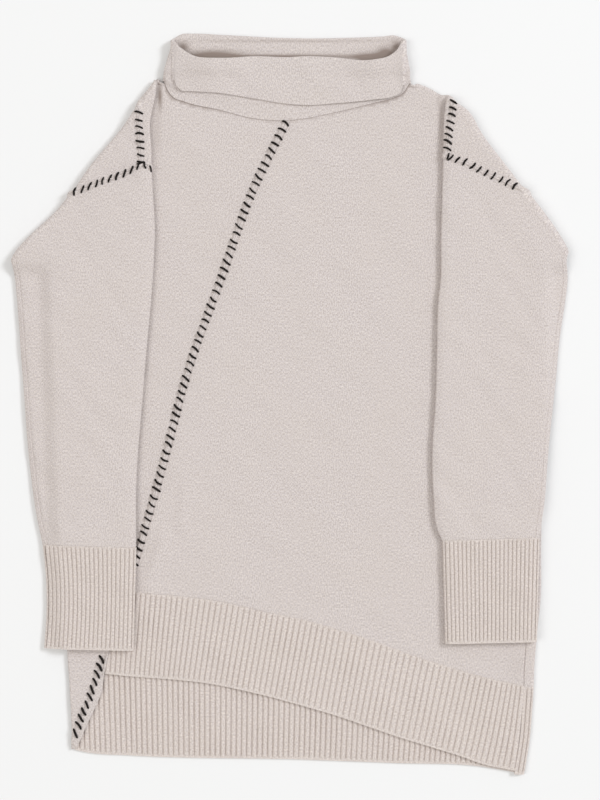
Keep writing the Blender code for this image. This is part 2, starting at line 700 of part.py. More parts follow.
def sleeve(side, finish):
    ring = tube_ring(armhole_shares(side), TURN_STEPS)
    inner_seam, outer_seam = armhole_ends(side)
    last_x = np.array([outer_seam - SIDES[side], outer_seam])
    armpit_slope = float(np.diff(ARMHOLE_AT[side](last_x))[0])
    cuff_in, cuff_out = CUFF[side]["seam"][3], CUFF[side]["seam"][1]
    points = []
    for share in SLEEVE_ROWS:
        for radius in (STACK / 2, BETWEEN / 2):
            for across, angle in ring:
                flat_x = inner_seam + (outer_seam - inner_seam) * across
                bulge = radius * math.cos(math.radians(angle)) if across == 1.0 else 0.0
                start = float(ARMHOLE_AT[side](flat_x)) + armpit_slope * bulge - SEAM_GAP / 2
                end = cuff_in + (cuff_out - cuff_in) * across + SEAM_GAP
                y = start + (end - start) * share
                inner, outer = float(overarm(side, y)), float(underarm(side, y))
                blend = ease(share / SLEEVE_BLEND)
                inner = inner_seam + (inner - inner_seam) * blend if across > 0 else inner
                x, z = tube_point(side, inner, outer, across, angle, radius)
                points.append((*unfold(side, x, y), z))
    add_piece("sleeve_" + side, np.array(points), ring_faces(len(SLEEVE_ROWS), len(ring)), finish)


def cuff(side, finish):
    sign = SIDES[side]
    flats = list(np.linspace(0.0, 1.0, 2 * CUFF_RIBS + 1))
    ring = tube_ring(flats, TURN_STEPS)
    out_x, out_y, in_x, in_y = CUFF[side]["seam"]
    end_out_x, end_out_y, end_in_x, end_in_y = CUFF[side]["end"]
    points = []
    rows = (0.0, 0.5, 1.0)
    for share in rows:
        pinch = CUFF[side]["waist"] * math.sin(math.pi * share)
        outer = out_x + (end_out_x - out_x) * share - sign * (CORE + pinch)
        inner = in_x + (end_in_x - in_x) * share + sign * CORE
        y_out, y_in = out_y + (end_out_y - out_y) * share, in_y + (end_in_y - in_y) * share
        for ribbed in (True, False):
            for index, (across, angle) in enumerate(ring):
                radius = BETWEEN / 2
                if ribbed:
                    radius += rib_height(index)
                x, z = tube_point(side, inner, outer, across, angle, radius)
                y = y_in + (y_out - y_in) * across
                points.append((*unfold(side, x, y), z))
    add_piece("cuff_" + side, np.array(points), ring_faces(len(rows), len(ring)), finish)


def collar_stations():
    """Round the neck: seam, roll and edge points, with the angle that the station faces."""
    share = (1 - np.cos(np.linspace(0.0, math.pi, 21))) / 2
    width = NECK_FRONT[-1][0] - NECK_FRONT[0][0]
    front = [NECK_FRONT[0][0] + width * s for s in share]
    cut = SLANT[0][1]
    front = sorted([x for x in front if abs(x - cut) > 4.0] + [cut])
    columns = [line_of([(row[0], row[i]) for row in COLLAR_FRONT]) for i in range(1, 5)]
    stations = []
    for x in front:
        roll_x, roll_y, edge_x, edge_y = (float(read(x)) for read in columns)
        stations.append(((x, float(NECK_FRONT_AT(x))), (roll_x, roll_y), (edge_x, edge_y), 90.0))
    back = [line_of([(row[0], row[i]) for row in COLLAR_BACK]) for i in range(1, 4)]
    behind = []
    for x in front[::-1]:
        roll_x, roll_y, edge_y = (float(read(x)) for read in back)
        behind.append(((x, float(NECK_BACK_AT(x))), (roll_x, roll_y), (roll_x, edge_y), -90.0))
    right = side_stations(stations[-1], behind[0], 1)
    left = side_stations(behind[-1], stations[0], -1)
    return stations + right + behind + left


def side_stations(before, after, sign):
    """The collar's rounded ends, between its front and its back."""
    made = []
    for step in range(1, TURN_STEPS):
        t = step / TURN_STEPS
        mix = [tuple(a + (b - a) * t for a, b in zip(before[i], after[i])) for i in range(3)]
        angle = 90.0 - 180.0 * t if sign > 0 else 270.0 - 180.0 * t
        made.append((mix[0], mix[1], mix[2], angle))
    return made


def collar_section():
    """Rows of the wall from the seam up, over the roll and down: kind, two measures, two radii."""
    stand_in, stand_out = BETWEEN / 2, BETWEEN / 2 + WALL
    flap_in, flap_out = stand_out + COLLAR_BETWEEN, stand_out + COLLAR_BETWEEN + WALL
    middle = (stand_out + flap_in) / 2
    rows = [("stand", share, 0.0, stand_in, stand_out) for share in STAND_ROWS]
    for step in range(1, TURN_STEPS):
        turn = math.pi * step / TURN_STEPS
        wide, narrow = middle - stand_in, middle - stand_out
        rows.append(("roll", wide * math.sin(turn), narrow * math.sin(turn),
                     middle - wide * math.cos(turn), middle - narrow * math.cos(turn)))
    rows += [("flap", share, 0.0, flap_out, flap_in) for share in FLAP_ROWS]
    return rows


def collar_point(station, row, face):
    """One point of the collar's wall; face 0 is the side worn against the neck."""
    seam, roll, edge, facing = station
    kind, share, other, first, second = row
    radius = second if face else first
    rise = 0.0
    if kind == "stand":
        x, y = (seam[i] + (roll[i] - seam[i]) * share for i in range(2))
    elif kind == "flap":
        x, y = (roll[i] + (edge[i] - roll[i]) * share for i in range(2))
    else:
        x, y = roll
        rise = other if face else share
    settle_y, settle_run = COLLAR_SETTLE
    seam_run = max(settle_y - seam[1], 4.0)
    rise_y, rise_run = COLLAR_RISE
    rest, rest_x, rest_run = COLLAR_REST
    body = float(ease((y - seam[1]) / seam_run if kind == "stand" else (y - rise_y) / rise_run))
    puff = rest + (1 - rest) * float(ease((abs(x) - rest_x) / rest_run))
    air = COLLAR_AIR * float(ease((y - settle_y) / settle_run)) * puff
    core = CORE + (COLLAR_CORE - CORE) * body + air
    turn = math.radians(facing)
    reach = radius + air
    return x + reach * math.cos(turn), y + rise, max(core + reach * math.sin(turn), 0.0)


def collar(finish):
    stations, section = collar_stations(), collar_section()
    around = len(stations)
    points = []
    for row in section:
        for face in (1, 0):
            points += [collar_point(station, row, face) for station in stations]
    add_piece("collar", np.array(points), ring_faces(len(section), around), finish, folds=False)


def build():
    for old in list(bpy.data.objects):
        bpy.data.objects.remove(old)
    knit = material("plain_knit", KNIT_COLOR)
    rib = material("rib_knit", RIB_COLOR)
    back_panel(knit)
    front_left_panel(knit)
    front_right_panel(knit)
    front_hem_rib(rib)
    back_hem_rib(rib)
    for side in SIDES:
        sleeve(side, knit)
        cuff(side, rib)
    collar(knit)


build()
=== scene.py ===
"""Looks of a long knitted sweater that lies flat on its back, with both sleeves folded in.

All tables are in millimetres, seen from above: x to the right, y towards the collar, z up from
the surface. Each piece is laid out as flat cloth, turned round the garment's edges, folded over
at the shoulders, and then given its soft relief. Its flat places stay with it for the knit.
"""
import math
import random

import bmesh
import bpy
import numpy as np
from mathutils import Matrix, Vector, geometry, kdtree
from mathutils.bvhtree import BVHTree


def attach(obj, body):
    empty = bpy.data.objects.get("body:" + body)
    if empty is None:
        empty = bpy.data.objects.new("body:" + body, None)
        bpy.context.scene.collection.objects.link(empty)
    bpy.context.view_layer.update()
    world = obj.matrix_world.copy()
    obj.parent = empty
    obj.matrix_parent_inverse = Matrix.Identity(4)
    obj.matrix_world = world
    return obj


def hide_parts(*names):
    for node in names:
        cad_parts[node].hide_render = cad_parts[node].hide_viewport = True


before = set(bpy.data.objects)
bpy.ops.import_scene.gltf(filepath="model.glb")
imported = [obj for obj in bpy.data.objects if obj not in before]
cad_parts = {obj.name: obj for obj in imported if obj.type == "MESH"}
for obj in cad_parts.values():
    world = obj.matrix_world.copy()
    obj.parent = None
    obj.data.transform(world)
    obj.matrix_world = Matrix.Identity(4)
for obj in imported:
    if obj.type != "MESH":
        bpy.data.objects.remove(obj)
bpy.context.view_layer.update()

MM = 0.001

# The wall and the levels of its layers
WALL = 1.8
BETWEEN = 0.9
STACK = 2 * WALL + BETWEEN
CORE = STACK / 2
FRONT = WALL + BETWEEN
EDGE_MEAN = (BETWEEN + WALL) / 2
EDGE_RUN = math.pi * EDGE_MEAN
EDGE_STEPS = 10
SEAM_GAP = 0.1

# The diagonal fold that lays each arm over the front
FOLD_AXIS = STACK + BETWEEN
FOLD_RUN = 8.0
FOLD_STEPS = 12
FOLD_MARGIN = 12.0
LIFT = 2 * FOLD_AXIS - STACK
DROP_WIDTH = 18.0
DROP_START = 3.0

# Spacing of the cloth's points
GRID = 4.2
GRID_ROW = 0.87
EDGE_SPACE = 3.0
ARMHOLE_STEPS = 60
ARMHOLE_BACK_STEPS = 8
SHOULDER_STEPS = 50
SHOULDER_TURN_STEPS = 40
SIDE_STEPS = 120
SIDE_TURN_STEPS = 110
SIDE_TURN_PAST = 1.0
SIDE_TURN_ABOVE = 4.0
NECK_STEPS = 90
HEM_STEPS = 140
SLANT_STEPS = 220
RIB_READS = 500
SHADE_PATCH_STEPS = 16
SHADE_PATCH_ASIDE = (-2.0, -1.0, -0.4, 0.4, 1.0, 2.0)

# Sewn ridges: width of each half, height, share that is its flat crown, dip where the halves meet
LIP_WIDTH = 3.4
LIP_HEIGHT = 1.8
LIP_CROWN = 0.35
LIP_DIP = 0.15
LIP_DIP_WIDTH = 0.12

# Painted shadow line beside the slanting ridge: distance from the seam, width, tone
RIDGE_SHADOW_AT = 3.7
RIDGE_SHADOW_WIDTH = 0.55
RIDGE_SHADOW_TONE = 0.9

# Groove along the neck seam, and the painted shade in it, which is weaker at the middle of the neck
GROOVE_WIDTH = 2.2
GROOVE_DEPTH = 0.9
NECK_SHADE = 2.0
NECK_SHADE_WIDTH = 1.3
NECK_SHADE_MIDDLE = 0.35
NECK_SHADE_FROM = 60.0
NECK_SHADE_RUN = 50.0

# Right side seam: its groove's width and depth, the tone of the painted shade along it (below zero, so the
# groove is painted lighter), how far the front's rib laps over the back's, and from which rib on the bands
# bow out with the side
SIDE_GROOVE = (0.4, 1.0)
SIDE_SEAM_SHADE = -0.25
SIDE_LAP = 0.5
BOWED_RIBS = 84.0
BOW_POWER = 4

# Free edge of the left front, turned under: width, length of its slope, height
HEM_WIDTH = 8.5
HEM_SLOPE = 2.0
HEM_HEIGHT = 0.9

# Rolled collar
COLLAR_AIR = 1.4
COLLAR_BETWEEN = 0.45
COLLAR_CORE = BETWEEN / 2 + WALL + COLLAR_BETWEEN + WALL

SIDES = {"left": -1, "right": 1}

# Top and foot of each fold line at the garment's outline: top x, top y, foot x, foot y
CREASE = {"left": (-154.5, 352.0, -301.0, 169.5), "right": (182.0, 332.0, 307.7, 169.5)}

# Upper edge of each arm, from the neck to the cuff: y, x
OVERARM = {
    "left": ((365, -152.5), (356, -149), (347, -149), (334, -151.5), (320, -155.5), (308, -157.5),
             (296, -157), (280, -155.3), (263, -154.5), (235, -152.5), (191, -150), (158, -151), (114, -154),
             (59, -159), (4, -163.5), (-72, -169.5), (-155, -170.5)),
    "right": ((385, 171), (373.5, 172.4), (364, 172.9), (355, 173.6), (346, 173.3), (338, 171.5),
              (330, 169.4), (320, 167.8), (307, 167), (274, 166.5), (224, 165), (180, 164), (136, 163.5),
              (114, 161), (59, 159.5), (4, 158), (-50, 154.5), (-105, 156), (-138, 160), (-149.5, 165)),
}

# Lower edge of each arm, from the armpit to the cuff: y, x
UNDERARM = {
    "left": ((204.5, -315), (180, -311), (160, -308), (136, -304.5), (92, -300.5), (48, -297.5), (4, -294),
             (-39, -291), (-83, -286.5), (-127, -280), (-155, -274)),
    "right": ((197, 319.5), (180, 314), (167, 307.5), (156, 304.5), (145, 305), (114, 301.5), (70, 295),
              (26, 291), (-17, 286), (-61, 281.5), (-105, 278), (-147, 272)),
}

# Seam between body and sleeve, seen on the folded arm: x, y
ARMHOLE = {
    "left": ((-315, 204.5), (-276, 221.5), (-241, 237), (-210, 247), (-188, 253.5), (-172, 260.5),
             (-165, 264.5), (-159, 262.5), (-152.5, 257.5)),
    "right": ((166.5, 273.5), (176, 269.5), (191, 265), (207, 256.5), (229, 246.5), (258, 232), (286, 215.5),
              (319.5, 197)),
}

# How far the shoulder seam lies behind the upper edge: y, distance
SHOULDER_SEAM = {
    "left": ((365, 2), (351, 9.5), (333, 17), (318, 14), (304, 12.5), (290, 12.5), (258, 12)),
    "right": ((385, 1), (357, 2), (340, 4), (331, 7), (322, 8), (312, 7), (290, 5), (273, 3.8)),
}
ARMHOLE_TOP = 260.0

# Where the shoulder cloth starts to wrap over, beside the neck: y on the folded arm
SHOULDER_START = {"left": 361.0, "right": 381.0}
SHOULDER_EASE = 6.0

# Outline of the body below the armpits: y, x
SIDE_LINE = {
    "left": ((161, -262.5), (4, -257), (-149, -251.5), (-273, -247), (-303, -245), (-347, -242.5),
             (-380, -241.5)),
    "right": ((161, 276), (4, 276.5), (-158, 275), (-220, 274), (-248, 271), (-288, 267.5), (-319, 266.5),
              (-340, 265), (-369, 262.5), (-407, 256.5)),
}
SIDE_START = 5.0
SIDE_EASE = 8.0

# How far the back comes round to the front at the right: y, distance from the edge
SIDE_SEAM = ((161, 0), (20, 2), (-140, 8), (-310, 9), (-407, 9))
SEAM_EASE = 4.0

# Neck seam: x, y
NECK_FRONT = ((-140.5, 355.5), (-137, 346.5), (-131.5, 339), (-119.5, 333.5), (-80, 324), (-42.5, 314.5),
              (-14, 312), (5, 313), (43.5, 320), (91, 331.5), (113, 337.5), (124, 344), (129.5, 352.5))
NECK_BACK = ((-140.5, 355.5), (-133.5, 350), (-117, 344.5), (-78.5, 339.5), (-1.5, 337.5), (70, 339.5),
             (108.5, 343), (122, 348), (129.5, 352.5))

# Slanting seam of the front: y, x
SLANT = ((312.5, -5), (235, -42.5), (141, -76.5), (33, -115), (-60, -139.5), (-148, -164.5), (-204, -181),
         (-276, -201.5), (-297, -206), (-340, -216.5))

# Free edge of the left front below the front's hem: x, y
VENT_EDGE = ((-208.5, -316), (-214.5, -331), (-220, -342), (-226, -355), (-232, -369), (-236, -377.5))

# Upper and lower edge of the front's ribbed hem: x, y
FRONT_RIB_TOP = ((-181, -205), (-162, -208), (-120, -211.5), (-64, -220), (-28, -229), (9, -236),
                 (45, -246.5), (82, -258), (119, -271.5), (160, -285), (210, -300), (256.5, -310))
FRONT_RIB_FOOT = ((-206, -296.5), (-172, -300), (-130, -303), (-91, -307.5), (-64, -312.5), (-28, -321),
                  (9, -331), (45, -341.5), (82, -354), (118, -366.5), (154, -377.5), (185, -387),
                  (207, -395), (246.5, -403.5))

# Upper and lower edge of the back's ribbed hem: x, y
BACK_RIB_TOP = ((-245, -289.5), (9, -295), (267, -311.5))
BACK_RIB_FOOT = ((-241.5, -380), (-226, -383.5), (-177, -387), (9, -391.5), (119, -395.5), (207, -399),
                 (235, -403.5), (256.5, -408))

# Each cuff: outer and inner x at the wrist seam, its y there, and the same at the open end
CUFF = {
    "left": {"seam": (-273.5, -154.5, -170.5, -157.5), "end": (-272, -268.5, -173.5, -270.5), "waist": 3.5},
    "right": {"seam": (272, -146.5, 166, -149.5), "end": (269, -261, 169, -263), "waist": 0.0},
}

# Collar, front: x at the seam, x at the roll, y of the roll, x and y of the turned-down edge
COLLAR_FRONT = (
    (-140.5, -127, 395, -128.5, 356),
    (-137, -124, 391, -126.5, 350),
    (-131.5, -119, 387, -121.5, 345),
    (-119.5, -109.5, 381, -112, 344),
    (-80, -76, 377.5, -78, 341.5),
    (-42.5, -41, 380, -40, 335.5),
    (-5, -5, 379, -5, 330),
    (20, 20, 380, 20, 328.5),
    (43.5, 43, 379, 43, 330),
    (91, 90, 375.5, 90, 334.5),
    (113, 109, 381, 112, 338),
    (124, 117, 388.5, 120.5, 343.5),
    (129.5, 120.5, 396, 122.5, 350),
)

# Collar, back: x at the seam, x and y of the roll, y of the turned-down edge
COLLAR_BACK = (
    (129.5, 120.5, 402, 355),
    (122, 113.5, 404, 357),
    (108.5, 101, 403, 358),
    (70, 67, 401.5, 358),
    (-1.5, -1, 401, 358),
    (-78.5, -76, 404.5, 358),
    (-117, -109, 406, 358),
    (-133.5, -122, 405, 357),
    (-140.5, -127, 402, 357),
)
COLLAR_RISE = (318.0, 40.0)
COLLAR_SETTLE = (357.0, 12.0)
COLLAR_REST = (0.35, 40.0, 60.0)

# Local easing of the outline: x, y, shift x, shift y, reach
EASING = (
    (-246.0, 226.5, 4.7, -3.7, 52.0),
    (-192.0, 303.0, 4.0, -3.2, 44.0),
    (-256.0, 211.0, 2.4, -1.9, 32.0),
    (309.5, 169.5, -3.6, -0.5, 24.0),
    (196.0, 319.0, 3.4, 2.6, 18.0),
    (173.0, 344.0, -1.5, -3.5, 18.0),
)

# Middle of the finished outline in the tables: x, y
CENTRE = (-1.63, 0.295)

# How far from ridges, from the turned edge and from the side the shells have extra points
LIP_ROWS = (0.6, 1.4, 2.2, 2.9, 3.4, 3.9, 4.6)
HEM_STOPS = (7.6, 8.4, 9.2, 10.2)
SIDE_STOPS = (0.6, 1.3, 2.1, 3.2)

# Sleeves and cuffs: points across and along, first rows, how the armhole's width goes over into the
# arm's, and how the upper layer puffs up from both edges
SLEEVE_ACROSS = 56
SLEEVE_ROWS = 96
SLEEVE_FIRST_ROWS = (0.0, 0.5, 1.0, 1.6, 2.2, 2.9, 3.6)
SLEEVE_BLEND = 0.27
SLEEVE_EDGE_BLEND = 0.15
PUFF = 1.7
PUFF_RUN = 11.0

# Faint seam along the arm's lower edge: points beside it, distance from the edge, width, depth, tone of the
# painted shade in its groove
UNDERARM_STOPS = (1.6, 2.3, 2.8, 3.2, 3.6, 4.1, 4.8)
UNDERARM_SEAM = 3.2
UNDERARM_WIDTH = 0.7
UNDERARM_DEPTH = 0.45
UNDERARM_SHADE = 0.35

# A layer counts as the upper or the lower one where the sine of its angle is past this
FACING = 0.5

# Collar: points round half of it and at each end, rows of stand, roll and flap, length of a row in
# the roll, shortest rise of the stand, and lifts of the front's roll as x, half width and height
COLLAR_AROUND = 110
COLLAR_TURN = 12
STAND_STEPS = 36
ROLL_STEPS = 12
FLAP_STEPS = 18
ROLL_ROW = 0.8
STAND_LEAST = 4.0
COLLAR_LIFTS = ((-87.0, 24.0, 3.6), (94.0, 22.0, 3.6))
COLLAR_LIFT_FROM = (352.0, 24.0)

# Painted deep shade in the collar's opening: x, y, half width and half height, tone
COLLAR_SHADE_PATCHES = (
    (-86.0, 384.5, 28.0, 5.0, 2.8),
    (90.0, 380.0, 20.0, 6.0, 3.6),
    (104.0, 386.0, 9.0, 7.0, 2.8),
    (-119.0, 393.0, 6.0, 5.0, 2.4),
    (115.0, 394.0, 5.0, 6.0, 2.0),
    (-10.0, 382.5, 105.0, 2.2, 2.6),
    (-5.0, 399.5, 110.0, 1.5, 1.0),
)

# Painted deep shade on the fronts beside the arms and over the hem, in the same order
FRONT_SHADE_PATCHES = (
    (-145.5, 339.0, 2.4, 13.0, 2.6),
    (-149.0, 300.0, 4.0, 26.0, 0.5),
    (164.0, 318.0, 3.0, 60.0, 0.7),
    (247.0, -289.0, 9.0, 15.0, 0.22),
)

# Ribs: counts, places of points in a rib, height over the plain wall, depth and thinness of a valley,
# the bare edge at a band's foot and how far it lies down, and rows down a band
CUFF_RIBS = {"left": 20, "right": 22}
CUFF_TURN_RIBS = 2
BACK_RIBS = 86
BACK_TURN_RIBS = 3
RIB_STOPS = (0.0, 0.06, 0.13, 0.25, 0.4, 0.6, 0.75, 0.87, 0.94)
RIB_CREST = 0.5
RIB_DEPTH = 1.1
RIB_SHARPNESS = 13.0
SELVEDGE = 2.6
SELVEDGE_START = 0.35
SELVEDGE_DROP = 0.25
RIB_START = 3.0
HEM_ROWS = 20
HEM_PITCH = 6.0
CUFF_ROWS = 22
TOP_STOPS = (0.0, 0.6, 1.2, 2.0, 3.0)
FOOT_STOPS = (3.0, 2.2, 1.5, 0.8, 0.0)
STOP_START = 4.5
LEAN_ROUNDS = 8
HALVINGS = 20
LEAST_RIB = 0.3
FIRST_RIB_ASIDE = 0.5

# The front's ribs, by the x of their middles: run sideways for each millimetre up, and pitch
FRONT_RIB_LEAN = ((-205, 0.06), (-150, 0.09), (-95, 0.15), (-12, 0.18), (65, 0.19), (137, 0.21), (205, 0.22),
                  (235, 0.18), (255, 0.11))
FRONT_RIB_PITCH = ((-190, 5.45), (-150, 5.5), (-95, 6.0), (-12, 6.1), (65, 6.3), (137, 6.5), (200, 6.1),
                   (245, 5.6))

# Soft relief: even swell, unevenness, its seed and longest wave, and creases as x, y, x, y, half
# width, height
WAVES = 9
FRONT_SWELL = 0.6
FRONT_UNEVEN = 0.35
FRONT_WAVES = (3, 90.0)
ARM_SWELL = 0.6
ARM_UNEVEN = 0.35
ARM_WAVES = (8, 70.0)
FRONT_CREASES = (
    (-140.5, -145.0, -158.0, -197.0, 7.0, 1.7),
    (-117.5, -95.0, -121.0, -135.0, 7.0, 1.1),
    (-60.0, 250.0, -20.0, 262.0, 16.0, 0.5),
)
ARM_CREASES = (
    (-262.0, 60.0, -240.0, -20.0, 14.0, 0.8),
    (262.0, 40.0, 236.0, -30.0, 14.0, 0.8),
    (-284.0, 168.0, -238.0, 150.0, 11.0, 0.6),
    (282.0, 166.0, 240.0, 146.0, 11.0, 0.6),
)

# Knit: width and height of a loop, slant of its legs, shade between loops, bump of loops and fibres
WALE = 2.2
COURSE = 1.7
LEG_SLANT = 1.6
LOOP_SHADE = 0.16
LOOP_BUMP = 0.55
GRAIN_BUMP = 0.45
BUMP_STRENGTH = 0.55
BUMP_HEIGHT = 0.0006

# Heather: scale, detail and roughness of each noise, values that it is spread between, its share
FLECK = (900.0, 3.0, 0.75)
FLECK_SPREAD = (0.42, 0.58)
FLECK_STRETCH = (1.0, 0.55, 1.0)
GRAIN = (1500.0, 2.0, 0.6)
BLOTCH = (480.0, 3.0, 0.6)
BLOTCH_SPREAD = (0.42, 0.62)
BLOTCH_SHARE = 0.55
CLOUD = (14.0, 2.0, 0.5)
CLOUD_SPREAD = (0.35, 0.7)
CLOUD_SHARE = 0.12

# Colours of the plain knit, of the ribs, and of what both share. The last shared colour is painted shade,
# mixed in between the knit's loops and, as strongly as the number after it, wherever the cloth carries
# painted shade
PLAIN_LIGHT = (0.85, 0.78, 0.74, 1.0)
PLAIN_DARK = (0.52, 0.455, 0.43, 1.0)
PLAIN_COOL = (0.675, 0.62, 0.635, 1.0)
RIB_LIGHT = (0.905, 0.82, 0.76, 1.0)
RIB_DARK = (0.575, 0.50, 0.455, 1.0)
RIB_COOL = (0.715, 0.655, 0.655, 1.0)
WARM = (0.69, 0.615, 0.54, 1.0)
PAINTED_SHADE_COLOR = (0.30, 0.24, 0.21, 1.0)
PAINTED_SHADE_WEIGHT = 0.4

# Sewing: pitch, the stitches' run in x and y, radius of the yarn
SLANT_SEWING = (8.4, (8.2, -5.8), 1.1)
SLANT_SEWN_PAST = 60.0
VENT_SEWING = (8.7, (5.2, -8.8), 1.3)
VENT_STITCHES = ((-207.9, -277.0), (-214.5, -298.0), (-218.1, -311.4), (-224.4, -328.9), (-231.8, -345.5),
                 (-237.4, -361.7), (-241.2, -371.0))
SHOULDER_SEWING = {"left": (7.7, (8.8, -2.0), 1.1), "right": (7.7, (7.8, -4.6), 1.15)}
ARMHOLE_SEWING = {"left": (8.3, (-2.6, -8.4), 1.15), "right": (8.6, (-6.0, -6.8), 1.1)}
SHOULDER_SEWN_FROM = {"left": 333.0, "right": 337.0}

# More sewing where a shoulder seam meets an armhole: line, pitch, run, radius
CORNER_SEWING = {
    "left": ((((-163.0, 263.5), (-151.5, 256.0)), 6.4, (1.5, -7.5), 1.0),
             (((-167.5, 266.5), (-163.5, 261.5)), 5.0, (7.5, 3.0), 1.0)),
    "right": ((((174.0, 271.5), (168.0, 272.0)), 5.0, (-2.0, -7.5), 1.05),),
}

# Yarn: sides and steps of a stitch, spread of its angle, length, bend, thickness and pitch, how high
# it rises over the cloth and dives in, and how thin it gets at its ends
YARN_SIDES = 8
YARN_STEPS = 11
STITCH_TURN = 8.0
STITCH_LENGTHS = (0.88, 1.1)
STITCH_BEND = 1.0
STITCH_THICKNESS = (0.88, 1.18)
STITCH_PITCH = (0.92, 1.08)
STITCH_RISE = 0.75
STITCH_DIVE = 1.7
STITCH_TAPER = 0.22
YARN_DARK = (0.010, 0.008, 0.007, 1.0)
YARN_LIGHT = (0.026, 0.021, 0.019, 1.0)

# Light, in watts and metres, the floor, and the camera's place in millimetres
KEY_POWER = 285.0
KEY_AT = (5.4, 2.4, 5.2)
KEY_SIZE = 2.4
FILL_POWER = 120.0
FILL_AT = (-3.8, -0.8, 5.6)
FILL_SIZE = 4.6
KEY_COLOR = (0.965, 1.0, 1.045)
FILL_COLOR = (1.01, 1.0, 0.98)
SKY = 0.6
SKY_COLOR = (1.0, 0.988, 0.965, 1.0)
FLOOR_TONE = 0.858
FLOOR_REACH = 6.0
FLOOR_DROP = 0.0003
CAMERA_AT = (10.97, 4.2, 2083.0)
LENS = 85.0


def ease(value):
    """Go smoothly from 0 to 1."""
    t = np.clip(value, 0.0, 1.0)
    return t * t * (3 - 2 * t)


def shade_at(x, y, patches):
    """How deep the painted shade of soft oval patches is at a place."""
    return sum(tone * np.exp(-(((x - at_x) / wide) ** 2) - ((y - at_y) / high) ** 2)
               for at_x, at_y, wide, high, tone in patches)


def shade_patch_lines(patches):
    """Upright lines through soft patches of painted shade, for points that carry it."""
    lines = []
    for at_x, at_y, wide, high in [row[:4] for row in patches]:
        ys = np.linspace(at_y - 2 * high, at_y + 2 * high, SHADE_PATCH_STEPS)
        lines += [[(at_x + aside * wide, float(y)) for y in ys] for aside in SHADE_PATCH_ASIDE]
    return lines


def line_of(rows):
    """A smooth curve through rows of (position, value), held level past its ends."""
    table = np.array(sorted(rows), dtype=float)
    at, value = table[:, 0], table[:, 1]
    slope = np.gradient(value, at)

    def read(position):
        position = np.asarray(position, dtype=float)
        i = np.clip(np.searchsorted(at, position) - 1, 0, len(at) - 2)
        span = at[i + 1] - at[i]
        t = np.clip((position - at[i]) / span, 0.0, 1.0)
        rise = value[i] * (1 + 2 * t) * (1 - t) ** 2 + value[i + 1] * t * t * (3 - 2 * t)
        return rise + span * t * (1 - t) * (slope[i] * (1 - t) - slope[i + 1] * t)

    return read


def crease_axes(side):
    """Start of a fold's axis, the direction along it, and the direction out of the garment."""
    top_x, top_y, foot_x, foot_y = CREASE[side]
    length = math.hypot(foot_x - top_x, foot_y - top_y)
    along = ((foot_x - top_x) / length, (foot_y - top_y) / length)
    out = (SIDES[side] * -along[1], SIDES[side] * along[0])
    start = (top_x - FOLD_AXIS * out[0], top_y - FOLD_AXIS * out[1])
    return start, along, out


def to_crease(side, x, y):
    start, along, out = crease_axes(side)
    dx, dy = x - start[0], y - start[1]
    return dx * along[0] + dy * along[1], dx * out[0] + dy * out[1]


def from_crease(side, a, s):
    start, along, out = crease_axes(side)
    return start[0] + a * along[0] + s * out[0], start[1] + a * along[1] + s * out[1]


def unfold(side, x, y):
    """Places on the folded arm to places on the unfolded cloth, and back."""
    a, s = to_crease(side, x, y)
    return from_crease(side, a, FOLD_RUN - s)


def turn_edge(beyond, z):
    """Wrap cloth that reaches past an edge round to the garment's other layer."""
    radius = np.abs(z - CORE)
    angle = np.clip(beyond / EDGE_MEAN, 0.0, math.pi)
    reach = np.where(beyond > 0, radius * np.sin(angle) - np.maximum(beyond - EDGE_RUN, 0.0), beyond)
    return reach, CORE + (z - CORE) * np.cos(angle)


OVERARM_AT = {side: line_of(rows) for side, rows in OVERARM.items()}
UNDERARM_AT = {side: line_of(rows) for side, rows in UNDERARM.items()}
ARMHOLE_AT = {side: line_of(rows) for side, rows in ARMHOLE.items()}
SHOULDER_AT = {side: line_of(rows) for side, rows in SHOULDER_SEAM.items()}
SIDE_AT = {side: line_of(rows) for side, rows in SIDE_LINE.items()}
SIDE_SEAM_AT = line_of(SIDE_SEAM)
NECK_FRONT_AT = line_of(NECK_FRONT)
NECK_BACK_AT = line_of(NECK_BACK)
SLANT_AT = line_of(SLANT)
FRONT_TOP_AT = line_of(FRONT_RIB_TOP)
FRONT_FOOT_AT = line_of(FRONT_RIB_FOOT)
BACK_TOP_AT = line_of(BACK_RIB_TOP)


def overarm(side, y):
    """Tangent line of an arm's upper edge, inside its outline."""
    return OVERARM_AT[side](y) + SIDES[side] * CORE


def underarm(side, y):
    return UNDERARM_AT[side](y) - SIDES[side] * CORE


def body_side(side, y):
    return SIDE_AT[side](y) - SIDES[side] * CORE


def wrap_panel(x, y, z):
    """Turn a body panel's spare cloth round the shoulders' and the body's edges."""
    for side, sign in SIDES.items():
        arm_x, arm_y = unfold(side, x, y)
        beyond = -sign * (arm_x - overarm(side, arm_y))
        reach, level = turn_edge(beyond, z)
        turned_x, turned_y = unfold(side, overarm(side, arm_y) - sign * reach, arm_y)
        over = beyond > 1e-6
        x, y, z = np.where(over, turned_x, x), np.where(over, turned_y, y), np.where(over, level, z)
        beyond = sign * (x - body_side(side, y))
        low = (beyond > 1e-6) & (y < SIDE_LINE[side][0][0]) & ~over
        reach, level = turn_edge(beyond, z)
        x, z = np.where(low, body_side(side, y) + sign * reach, x), np.where(low, level, z)
    return x, y, z


def fold_arms(x, y, z):
    """Fold what lies past the two shoulder folds up and over the front."""
    for side in SIDES:
        a, s = to_crease(side, x, y)
        angle = math.pi * np.clip(s / FOLD_RUN, 0.0, 1.0)
        radius = FOLD_AXIS - z
        past = radius * np.sin(angle) - np.maximum(s - FOLD_RUN, 0.0)
        folded_x, folded_y = from_crease(side, a, past)
        over = s > 0
        x, y = np.where(over, folded_x, x), np.where(over, folded_y, y)
        z = np.where(over, FOLD_AXIS - radius * np.cos(angle), z)
    return x, y, z


